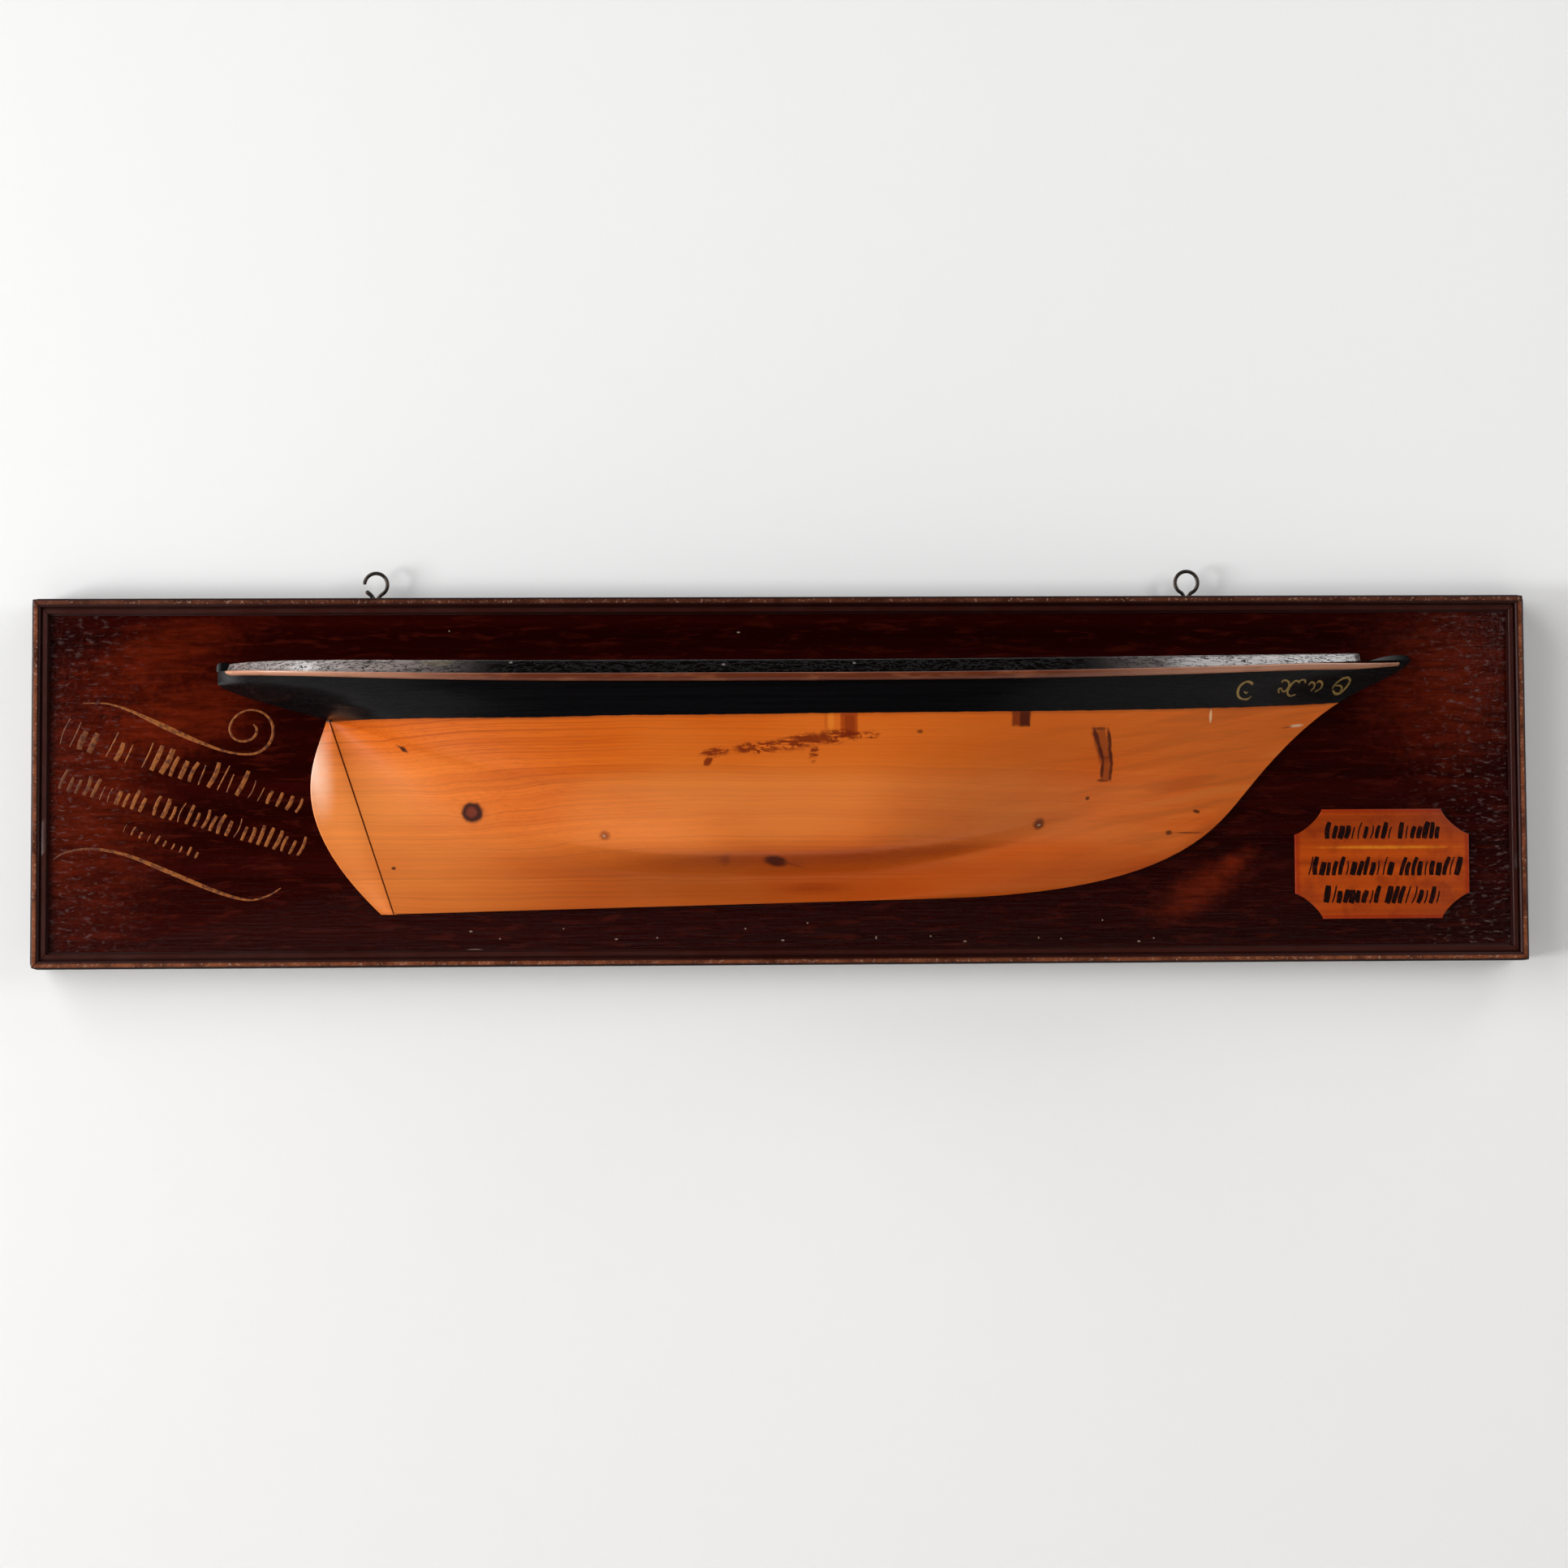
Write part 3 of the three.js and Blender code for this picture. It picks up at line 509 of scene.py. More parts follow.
for from_x, from_z, to_x, to_z, wide, strength, colour in STREAKS:
    rise = math.degrees(math.atan2(to_z - from_z, to_x - from_x))
    reach = math.dist((from_x, from_z), (to_x, to_z)) / 2 + wide
    streak = mark(hull_finish, (from_x + to_x) / 2, (from_z + to_z) / 2, reach, wide, rise,
                  0.7, 0.55)
    layers.append((streak * strength, colour))

scuffs = hull_finish.coords.noise((44.0, 44.0, 210.0), 6.0, 0.66, 0.7).ramp(0.43, 0.52)
scratch_lines = hull_finish.coords.noise((52.0, 52.0, 150.0), distortion=1.2)
scratches = abs(scratch_lines - 0.5).ramp(0.03, 0.014)
scuffed = reduce(Wire.or_more, [mark(hull_finish, *place, 0.7, 0.5) for place in SCUFFED])
layers.append((scuffed * scuffs.or_more(scratches) * 0.9, 0x6a1e02))
past_post = (along + POST_AFT) * POST_ACROSS[0] + (up - POST_UP) * POST_ACROSS[1]
layers += [
    # painted highlight: a pale sheen and a brighter glare on the rudder's after half, past the
    # scored line
    (mark(hull_finish, -436, 14, 21, 62, 8, 0.15, 1.0) * past_post.ramp(-0.001, -0.006) * 0.8,
     0xf4c4a6),
    (mark(hull_finish, -440, 24, 9, 44, 8, 0.15, 1.0)
     * past_post.ramp(-0.004, -0.012, 0.0, 0.38), 0xfbe2d4),
    (abs(past_post).ramp(0.0009, 0.0004), 0x6a2a0c)]
print("layers on the pine:", len(layers))

# %% Black paint above its line
PAINT_LINE = [(-530, 58), (-440, 57), (-421, 56.2), (-410, 55.6), (-340, 54.3), (-231, 53.4),
              (-144, 54.6), (-50, 54.9), (37, 55.7), (120, 56.3), (204, 57.4), (300, 59.4),
              (391, 62.4), (450, 65.4), (503, 68.9), (519, 70.4), (592, 77.0)]


def line_height(x, points):
    """Height over the wire x along a fair line through the points in millimetres."""
    low_x, high_x = points[0][0], points[-1][0]
    low_z, high_z = min(p[1] for p in points), max(p[1] for p in points)
    share = x.ramp(low_x * MM, high_x * MM, kind="LINEAR")
    made = x.steps.node("FloatCurve", {"Value": share})
    places = [((px - low_x) / (high_x - low_x), (pz - low_z) / (high_z - low_z))
              for px, pz in points]
    curve = made.mapping.curves[0]
    curve.points[0].location, curve.points[1].location = places[0], places[-1]
    for place in places[1:-1]:
        curve.points.new(*place)
    made.mapping.update()
    return Wire(x.steps, made.outputs[0]).ramp(0.0, 1.0, low_z * MM, high_z * MM, kind="LINEAR")


wobble = (hull_finish.coords.noise((70.0, 1.0, 1.0), detail=2.0) - 0.5) * 0.0012
above_line = up - (line_height(along, PAINT_LINE) + wobble)
painted = above_line.ramp(-0.0003, 0.0003)
# painted shade: a thin darker band just under the paint line
layers.append((above_line.ramp(-0.0035, -0.0005) * 0.3, 0x5c2810))
pine_light = hull_finish.mixed(pine["Bands"].ramp(0.25, 0.75), 0xd06618, 0xba520a)
strokes = hull_finish.coords.noise((8.0, 60.0, 420.0))
black = hull_finish.mixed(strokes, 0x050506, 0x0c0a0c)
rough = hull_finish.wire("Mix", {0: painted, 2: pine["Fibres"].ramp(0.2, 0.8, 0.42, 0.54),
                                 3: strokes.ramp(0.3, 0.7, 0.24, 0.32)})
relief = (pine["Fibres"] * 0.4 + pine["Lines"]) * 0.35 + (strokes * 0.8 + painted * 0.8)
bottom = hull_finish.layered(pine_light, layers)
hull_finish.show(hull_finish.mixed(painted, bottom, black), rough, Coat_Weight=0.04,
                 Coat_Roughness=0.22, Specular_IOR_Level=0.12,
                 Normal=hull_finish.bump(relief, 0.00012))

# %% [markdown]
# # Other finishes
# The board is dark mahogany under an old brown varnish that was brushed along it, with painted
# pools of light at its ends and under the bow and painted glints near its ends. The moulding
# round it is worn through to orange wood on its crest, where pale flecks are painted highlights.
# The strip along the sheer has lost most of its varnish, and its paler ends are painted sheen.
# The lift is black gloss with a painted reflection of the lights, pale and crazed, towards its
# ends. The tablet is stained wood with a darker rim. The gold, the gilding and the ink are thin
# paint that has worn through in specks, so one function makes all three. The eyes and the pins
# are metal gone dull.

# %% Board varnish
# painted light: reddish pools where the board looks lit more, at its ends and under the bow
PAINTED_GLOWS = [  # x, z, half width, half height, turn, strength
    (-578, 122, 120, 44, 20, 0.28), (-560, 60, 120, 50, 15, 0.35), (-650, -20, 110, 170, 0, 0.25),
    (620, 90, 110, 110, 0, 0.3), (388, -104, 66, 28, 30, 0.36), (416, -82, 38, 14, 35, 0.42)]
SPECKS = [  # x, z, half width, half height
    (-292, -139, 2, 1), (-265, -146, 1, 1), (-206, -137, 1, 1), (-157, -147, 2, 1),
    (-119, -146, 1, 1), (-37, -138, 1, 1), (-2, -149, 2, 1), (21, -133, 1, 1), (85, -147, 1, 2),
    (136, -146, 1, 1), (168, -151, 2, 1), (237, -148, 1, 1), (258, -149, 1, 1), (297, -132, 1, 1),
    (331, -152, 2, 1), (345, -149, 1, 1), (-288, -156, 9, 1), (-312, 141, 1, 1), (-42, 139, 2, 1)]
board_varnish = Finish("board_varnish")
along = board_varnish.coords.apart()[0]
mahogany = grain(board_varnish, board_varnish.coords, 0.012, 0.01)
figure = board_varnish.coords.noise((26.0, 1.0, 150.0), 5.0, 0.65, 0.5)
layers = [(mahogany["Lines"].ramp(0.5, 0.8) * 0.35, 0x140404),
          (figure.ramp(0.5, 0.68) * 0.45, 0x4a140a)]
# the painted pools of light, each broken up by the figure
for *place, strength in PAINTED_GLOWS:
    painted_glow = mark(board_varnish, *place, 0.6, 0.95) * figure.ramp(0.3, 0.6, 0.35, 1.0)
    layers.append((painted_glow * strength, 0x86280e))
layers += [(mark(board_varnish, *place, 0, 0.5, 0.6) * 0.6, 0xb09a88) for place in SPECKS]
at_ends = abs(along).ramp(0.55, 0.69)
# painted glints: pale specks towards both ends stand in for highlights on the varnish
painted_glints = board_varnish.coords.noise((120.0, 1.0, 300.0), 4.0, 0.6, 0.4).ramp(0.54, 0.7)
layers.append((at_ends * along.ramp(0.0, 0.6, 0.4, 0.62) * painted_glints, 0x665452))
brushed_on = board_varnish.coords.noise((18.0, 60.0, 300.0), 5.0, 0.7)
orange_peel = board_varnish.coords.noise(260.0, roughness=0.6) * at_ends * 0.7
deep_brown = board_varnish.mixed(mahogany["Bands"].ramp(0.25, 0.75), 0x180100, 0x2a0402)
board_varnish.show(board_varnish.layered(deep_brown, layers),
                   brushed_on.ramp(0.3, 0.7, 0.09, 0.17), Specular_IOR_Level=0.25,
                   Normal=board_varnish.bump(brushed_on + orange_peel, 0.0004))

# %% Moulding varnish
moulding_varnish = Finish("moulding_varnish")
along, _, up = moulding_varnish.coords.apart()
wood = grain(moulding_varnish, moulding_varnish.coords, 0.006, 0.004)
off_edge = moulding_varnish.math("MINIMUM", BOARD_LENGTH / 2 * MM - abs(along),
                                 BOARD_HEIGHT / 2 * MM - abs(up))
wear = moulding_varnish.coords.noise((30.0, 40.0, 30.0), 5.0, 0.72)
crest = off_edge.ramp(0.0016, 0.0028) * off_edge.ramp(0.0062, 0.0048)
on_top = up.ramp(0.160, 0.165)
# painted highlights: pale flecks along the crest stand in for broken highlights
painted_crest_glints = crest * moulding_varnish.coords.noise(330.0, roughness=0.6).ramp(0.56, 0.66) * 0.45
on_fillet = off_edge.ramp(0.0096, 0.0102) * off_edge.ramp(0.0142, 0.0136)
worn = moulding_varnish.layered(moulding_varnish.mixed(wood["Bands"], 0x1c0503, 0x300c06), [
    (on_fillet * 0.15, 0x56200e),
    (crest * wear.ramp(0.36, 0.6, 0.25, 1.0) * on_top.ramp(0.0, 1.0, 0.9, 0.4), 0x824628),
    (painted_crest_glints, 0xb08e7a),
    (off_edge.ramp(0.0020, 0.0006), 0x0a0302),
    (wood["Fibres"].ramp(0.5, 0.75) * 0.4, 0x2a0d06)])
moulding_varnish.show(worn, wear.ramp(0.3, 0.7, 0.36, 0.52), Specular_IOR_Level=0.2,
                      Normal=moulding_varnish.bump(wood["Fibres"], 0.0003))

# %% Bare wood of the strip
bare_wood = Finish("bare_wood")
wood = grain(bare_wood, bare_wood.coords, 0.003, 0.002)
patches = bare_wood.coords.noise((26.0, 30.0, 120.0), 4.0, 0.65)
# painted sheen: the strip is paler towards both ends, where the lights catch it
painted_sheen_ends = abs(bare_wood.coords.apart()[0] + 0.01).ramp(0.22, 0.46)
faded = bare_wood.layered(bare_wood.mixed(wood["Bands"], 0x6c3014, 0x421606), [
    (patches.ramp(0.5, 0.66) * 0.6, 0x80482c),
    (painted_sheen_ends * patches.ramp(0.25, 0.5, 0.6, 1.0), 0xb47e62)])
bare_wood.show(faded, 0.3, Normal=bare_wood.bump(wood["Fibres"], 0.0003))

# %% Black gloss of the lift
lift_paint = Finish("lift_paint")
along = lift_paint.coords.apart()[0]
streaks = lift_paint.coords.noise((14.0, 200.0, 380.0), 4.0, 0.65)
at_ends = along.ramp(-0.25, -0.39).or_more(along.ramp(0.26, 0.37))
crazing = abs(lift_paint.coords.noise((85.0, 240.0, 300.0), 3.0, 0.6, 0.6) - 0.5).ramp(0.03, 0.012)
# painted reflection: pale grey towards both ends, as the gloss would show the lights, broken by
# crazing; the coat is glossier there too
painted_sheen = at_ends * (1.0 - crazing) * streaks.ramp(0.3, 0.6, 0.55, 1.0)
layers = [(painted_sheen * along.ramp(0.0, 0.3, 0.95, 0.56), 0x8c807c),
          (mark(lift_paint, -312, 103.5, 20, 4.5, 0, 0.6, 0.6) * 0.5, 0x6c6250)]
for x, z in ((-246, 103), (-56, 100), (61, 101)):
    layers.append((mark(lift_paint, x, z, 2.2, 1.4, 0, 0.7, 0.7) * 0.6, 0x9a928c))
speckle = lift_paint.coords.noise((150.0, 300.0, 300.0), 4.0, 0.7)
lift_paint.show(lift_paint.layered(lift_paint.mixed(streaks, 0x040303, 0x0a0605), layers),
                crazing.ramp(0.0, 1.0, 0.13, 0.55),
                Coat_Weight=painted_sheen.ramp(0.0, 0.8, 0.02, 1.0), Coat_Roughness=0.1,
                Specular_IOR_Level=0.12,
                Normal=lift_paint.bump(streaks + speckle - crazing, 0.0004))

# %% Tablet paint
tablet_paint = Finish("tablet_paint")
wood = grain(tablet_paint, tablet_paint.coords, 0.006, 0.003)
inside = mark(tablet_paint, 560.5, -80.8, 79.5, 48.8, 0, 0.05, 0.04, 1.0)
plain = tablet_paint.mixed(wood["Bands"].ramp(0.3, 0.7), 0xb24606, 0x923404)
aged = tablet_paint.layered(plain, [
    (wood["Lines"].ramp(0.5, 0.75) * 0.5, 0x8a3006),
    (mark(tablet_paint, 562, -65.3, 84, 2.2, 0, 0.8, 0.8) * 0.55, 0xe08c1e),
    (tablet_paint.coords.noise(46.0, 5.0, 0.65).ramp(0.46, 0.66) * 0.45, 0x6c1c04),
    (tablet_paint.coords.apart()[2].ramp(-0.066, -0.05) * 0.3, 0x702406),
    ((1.0 - inside) * 0.6, 0x8a1c02)])
tablet_paint.show(aged, 0.35, Specular_IOR_Level=0.3,
                  Normal=tablet_paint.bump(wood["Lines"], 0.0002))


# %% Gold, ink and metal
def worn_paint(name, scale, low, high, fresh, worn, roughness, **more):
    """A paint that shows a second colour where it is worn."""
    finish = Finish(name)
    wear = finish.coords.noise(scale, 4.0, 0.7).ramp(low, high)
    finish.show(finish.mixed(wear, fresh, worn), roughness, **more)
    return finish


gold_paint = worn_paint("gold_paint", 220.0, 0.42, 0.66, 0x98541a, 0x4c1a06, 0.45, Metallic=0.2)
fresh_gold = Wire(gold_paint, gold_paint.surface.inputs["Base Color"].links[0].from_socket)
at_left_end = gold_paint.coords.apart()[0].ramp(-0.6, -0.675, 0.0, 0.7)
faded_gold = gold_paint.mixed(at_left_end, fresh_gold, 0x3c0f06)
gold_paint.put(gold_paint.surface.inputs["Base Color"], faded_gold)
old_gilding = worn_paint("old_gilding", 260.0, 0.45, 0.72, 0x8e7238, 0x2c200e, 0.45)
ink_paint = worn_paint("ink_paint", 300.0, 0.52, 0.74, 0x120201, 0x4a1204, 0.5,
                       Specular_IOR_Level=0.1)

dark_steel = Finish("dark_steel")
patina = dark_steel.coords.noise(260.0, 4.0, 0.65)
dark_steel.show(dark_steel.mixed(patina.ramp(0.45, 0.7), 0x3c3835, 0x4a3628),
                patina.ramp(0.3, 0.7, 0.28, 0.55), Metallic=patina.ramp(0.4, 0.7, 0.95, 0.5),
                Normal=dark_steel.bump(patina, 0.0002))

pin_metal = Finish("pin_metal")
pin_metal.show(pin_metal.mixed(pin_metal.coords.noise(900.0), 0xc8b090, 0x8a7052), 0.5,
               Metallic=0.4)
print("finishes:", len(bpy.data.materials))

# %% [markdown]
# # Form of the hull
# A shipwright fairs a hull with battens: level lines that run from stem to sternpost and rise
# at both ends. Here each level line has a height along the hull and a breadth that closes to
# the keel's thickness at its ends. The functions are the solid's own. Only the deck line's rise
# and the sections near the ends are a little sharper here, as the light on the real one shows.


# %% Curves
def bezier(corners, steps):
    """Points of a curve from the first corner to the last, drawn towards those between."""
    last = len(corners) - 1
    return [tuple(sum(math.comb(last, k) * (1 - t) ** (last - k) * t ** k * corner[n]
                      for k, corner in enumerate(corners)) for n in (0, 1))
            for t in (i / steps for i in range(steps + 1))]


def hermite(a, b, leaving, arriving, t):
    """A fair step from a to b, with the slopes that it leaves and arrives with."""
    return (a * (2 * t ** 3 - 3 * t * t + 1) + b * (3 * t * t - 2 * t ** 3)
            + leaving * (t ** 3 - 2 * t * t + t) + arriving * (t ** 3 - t * t))


def batten(levels, values, at):
    """A value faired through pins at given levels, as a batten bends through its nails."""
    last = len(levels) - 1
    i = 0
    while i < last - 1 and at > levels[i + 1]:
        i += 1

    def slope(k):
        low, high = max(k - 1, 0), min(k + 1, last)
        return (values[high] - values[low]) / (levels[high] - levels[low])

    span = levels[i + 1] - levels[i]
    return hermite(values[i], values[i + 1], span * slope(i), span * slope(i + 1),
                   clamp((at - levels[i]) / span))


print("pins at 0, 1 and 0 bend a batten to", batten([0, 1, 2], [0, 1, 0], 0.5), "a quarter along")


# %% Form of the hull
def side_view(length_share, depth_share):
    return (HULL_AFT + length_share * HULL_LENGTH,
            depth_share * HULL_DEPTH - KEEL_BELOW_MIDDLE)


def side_curve(*corners):
    return bezier([side_view(*corner) for corner in corners], 160)


HEEL = side_view(0.1468, -0.0457)
FOREFOOT = side_view(0.6011, 0.0112)
TUCK = side_view(0.0936, 0.8278)
FORE_PROFILE = (
    side_curve((0.6011, 0.0112), (0.8028, 0.036), (0.8318, 0.3273), (0.8606, 0.5092))
    + side_curve((0.8606, 0.5092), (0.9364, 1.0110), (0.9762, 0.949), (1, 1.0929)))
COUNTER = side_curve((0.0936, 0.8278), (0.0692, 0.8711), (0.0076, 0.9484), (0, 0.9976))
RUDDER_EDGE = side_curve((0.0905, 0.8444), (0.0852, 0.6805), (0.0451, 0.428), (0.1356, -0.0472))
MIDSHIP_X = side_view(0.5, 0)[0]
SHEER_LOW_X = side_view(0.4706, 0)[0]
STEM_AT_BILGE_X = side_view(0.895, 0)[0]
LEVELS = [0, 0.13, 0.22, 0.45, 0.8, 1]
AFT_RISE = [0, 0.38, 0.61, 0.45, 0.115, 0]
FORE_RISE = [0, 0.55, 0.55, 0.37, 0.06, 0]
LEVEL_EASE_FROM, LEVEL_EASE_OVER = 0.8, 0.2


def keel_z(x):
    return mix(HEEL[1], FOREFOOT[1], (x - HEEL[0]) / (FOREFOOT[0] - HEEL[0]))


def from_low_point(x):
    """Whether x is aft of the sheer's lowest point, and its share of the way to that end."""
    aft = x < SHEER_LOW_X
    return aft, (x - SHEER_LOW_X) / ((HULL_AFT if aft else HULL_FORE) - SHEER_LOW_X)


def sheer_z(x):
    aft, share = from_low_point(x)
    rise = 0.055 * share ** 4 if aft else 0.091 * share ** 2.6
    return HULL_DEPTH * (1 + rise) - KEEL_BELOW_MIDDLE


def level_z(x, level):
    """Height of a level line, which eases off before it reaches the tuck or the stem."""
    aft = x < MIDSHIP_X
    share = max((x - MIDSHIP_X) / ((TUCK[0] if aft else STEM_AT_BILGE_X) - MIDSHIP_X), 0)
    over = share - LEVEL_EASE_FROM
    if over > 0:
        share = LEVEL_EASE_FROM + LEVEL_EASE_OVER * math.tanh(over / LEVEL_EASE_OVER)
    rise = batten(LEVELS, AFT_RISE if aft else FORE_RISE, level)
    straight = mix(keel_z(x), sheer_z(x), level)
    return straight + rise * HULL_DEPTH * share ** (3 if aft else 1.9)


AFT_PROFILE = [HEEL] + COUNTER + [(HULL_AFT, sheer_z(HULL_AFT) + 1)]


def end_of_level(profile, level):
    """Where a level line meets the profile at one end of the hull."""
    before = profile[0]
    below = before[1] - level_z(before[0], level)
    for point in profile[1:]:
        above = point[1] - level_z(point[0], level)
        if below <= 1e-6 < above:
            return mix(before[0], point[0], max(-below, 0) / (above - below))
        before, below = point, above
    return profile[-1][0]


print("sheer rises", round(sheer_z(HULL_FORE) - sheer_z(SHEER_LOW_X), 1), "mm to the stem")

# %% Midship section and fullness
GARBOARD_HEIGHT, GARBOARD_TURN, BILGE_TURN = 27, 12, 17
DEADRISE = math.tan(math.radians(10.5))
TOP_BREADTH = 105


def midship_section():
    """Half-breadth against height: garboard, flat floor with some deadrise, bilge and side."""
    def floor(breadth):
        return breadth, GARBOARD_HEIGHT + (breadth - KEEL_HALF) * DEADRISE

    garboard = [(KEEL_HALF, 15), (KEEL_HALF, GARBOARD_HEIGHT), floor(KEEL_HALF + GARBOARD_TURN)]
    bilge_top = (HULL_HALF_BREADTH, floor(HULL_HALF_BREADTH)[1] + BILGE_TURN)
    bilge = [floor(HULL_HALF_BREADTH - BILGE_TURN), floor(HULL_HALF_BREADTH), bilge_top]
    side = [bilge_top, (HULL_HALF_BREADTH, 0.7 * HULL_DEPTH), (TOP_BREADTH, HULL_DEPTH)]
    return [(KEEL_HALF, 0)] + bezier(garboard, 40) + bezier(bilge, 40) + bezier(side, 40)


SECTION = midship_section()
VEE_ROUNDING = 0.7
FORE_FLAT = [2, 2.05, 2.15, 2.4, 2.8, 2.8]
FORE_FINE = [1, 1.08, 1.08, 1.08, 1.05, 0.85]
AFT_FLAT = [2, 2.4, 2.6, 2.9, 3.2, 3.6]
AFT_FINE = [1, 1.3, 1.15, 1, 0.72, 0.42]
FAIR_AFT = [end_of_level(AFT_PROFILE, level) for level in LEVELS]


def section_breadth(x, level, u, aft):
    """The midship section's breadth, which gives way to a vee towards the ends."""
    z = level * HULL_DEPTH
    i = 1
    while i < len(SECTION) - 1 and SECTION[i][1] < z:
        i += 1
    low, high = SECTION[i - 1], SECTION[i]
    breadth = mix(low[0], high[0], clamp((z - low[1]) / max(high[1] - low[1], 1e-9)))
    if not aft:
        height_share = (level_z(x, level) - keel_z(x)) / (sheer_z(x) - keel_z(x))
        rounded_vee = mix(KEEL_HALF, TOP_BREADTH, height_share ** VEE_ROUNDING)
        return mix(breadth, rounded_vee, smooth(u, 0.06, 0.62))
    if level >= 0.5:
        return breadth
    return mix(breadth, mix(KEEL_HALF, HULL_HALF_BREADTH, level / 0.5),
               0.95 * smooth(u, 0.16, 0.72))


def level_ends(level):
    return end_of_level(AFT_PROFILE, level), end_of_level(FORE_PROFILE, level)


def half_breadth(x, level, ends=None):
    aft_end, fore_end = ends or level_ends(level)
    aft = x < MIDSHIP_X
    end = aft_end if aft else fore_end
    fair = batten(LEVELS, FAIR_AFT, level) if aft else end
    reach = max(abs(end - MIDSHIP_X), abs(fair - MIDSHIP_X))
    along = clamp((x - MIDSHIP_X) / (end - MIDSHIP_X))
    u = abs(x - MIDSHIP_X) / reach
    flat = batten(LEVELS, AFT_FLAT if aft else FORE_FLAT, level)
    fine = batten(LEVELS, AFT_FINE if aft else FORE_FINE, level)
    edge = mix(KEEL_HALF, COUNTER_EDGE, smooth(level, 0.75, 0.9)) if aft \
        else mix(KEEL_HALF, STEM_HALF, along)
    body = max(section_breadth(x, level, u, aft) - edge, 0)
    closed = math.sqrt(1 - along ** 16) if aft else 1.0
    return edge + body * max(1 - u ** flat, 0) ** fine * closed


def hull_surface_y(x, z):
    """Where the hull's carved face stands over the point x, z of the board."""
    low, high = 0.0, 1.0
    for _ in range(30):
        middle = (low + high) / 2
        low, high = (middle, high) if level_z(x, middle) < z else (low, middle)
    return SEAT - half_breadth(x, low)


print("hull stands out", round(-hull_surface_y(0, 0)), "mm amidships")

# %% [markdown]
# # Half hull
# On the real model the hull is carved from one block, and its rudder is parted from it only by
# a scored line down the sternpost. A grid of level lines and stations makes the carved face.
# Rows and columns crowd close to the rim, where they turn its sharp corner into a small round,
# as sandpaper does. The rudder's own grid dips under the hull's edge, which leaves the line.

# %% Rows and columns of the hull's grid
ARRIS = 1.0
ARRIS_STEPS = (0.0, 0.25, 0.6, 1.0)
SCORE_HALF, SCORE_DEPTH = 0.5, 0.7
DEADWOOD_LEVEL = 0.13
DEADWOOD_ROWS, SECTION_ROWS, STATION_COUNT = 26, 100, 240


def arris_drop(distance):
    """How far a rounded edge falls back at a distance in from the rim."""
    inward = clamp(ARRIS - distance, 0, ARRIS)
    return ARRIS - math.sqrt(ARRIS ** 2 - inward ** 2)


def hull_rows():
    """Levels of the rows: close at the keel's corner, then along the deadwood and the section."""
    corner = [d / HULL_DEPTH for d in ARRIS_STEPS]
    deadwood = [DEADWOOD_LEVEL * (k / DEADWOOD_ROWS) ** 1.6 for k in range(2, DEADWOOD_ROWS)]
    lengths = [0.0]
    for low, high in zip(SECTION, SECTION[1:]):
        lengths.append(lengths[-1] + math.dist(low, high))
    spaced = []
    i = 0
    for k in range(SECTION_ROWS + 1):
        at = lengths[-1] * k / SECTION_ROWS
        while i < len(lengths) - 2 and lengths[i + 1] < at:
            i += 1
        share = (at - lengths[i]) / max(lengths[i + 1] - lengths[i], 1e-9)
        spaced.append(mix(SECTION[i][1], SECTION[i + 1][1], clamp(share)) / HULL_DEPTH)
    section = [level for level in spaced if DEADWOOD_LEVEL <= level < 0.993]
    return corner + [level for level in deadwood if level > 1.4 / HULL_DEPTH] + section + [1.0]


def crowded(share, by):
    """A share of the way from end to end, moved towards the nearer end."""
    return mix(share, (1 - math.cos(math.pi * share)) / 2, by)


ROWS = hull_rows()
ROW_ENDS = [level_ends(level) for level in ROWS]
STATIONS = [crowded(j / STATION_COUNT, 0.62) for j in range(STATION_COUNT + 1)]
RIM_COLUMNS = len(ARRIS_STEPS) - 1
LAST_COLUMN = len(STATIONS) - 1 + 2 * RIM_COLUMNS
print("hull grid:", len(ROWS), "rows by", LAST_COLUMN + 1, "columns")


# %% Carved face and rudder
def hull_point(s, t):
    row, column = round(t * (len(ROWS) - 1)), round(s * LAST_COLUMN)
    level = ROWS[row]
    aft, fore = ROW_ENDS[row]
    on_post = level_z(aft, level) < TUCK[1] - 0.5
    start = aft + SCORE_HALF if on_post else aft
    if column < RIM_COLUMNS:
        x = start + ARRIS_STEPS[column]
    elif column > LAST_COLUMN - RIM_COLUMNS:
        x = fore - ARRIS_STEPS[LAST_COLUMN - column]
    else:
        x = mix(start + ARRIS, fore - ARRIS, STATIONS[column - RIM_COLUMNS])
    z = level_z(x, level)
    rim = min(fore - x, z - level_z(x, 0))
    if not on_post:
        rim = min(rim, x - aft)
    return x, SEAT - half_breadth(x, level, (aft, fore)) + arris_drop(rim), z


RUDDER_COLUMNS = 40
TRAILING_EDGE = 2.0


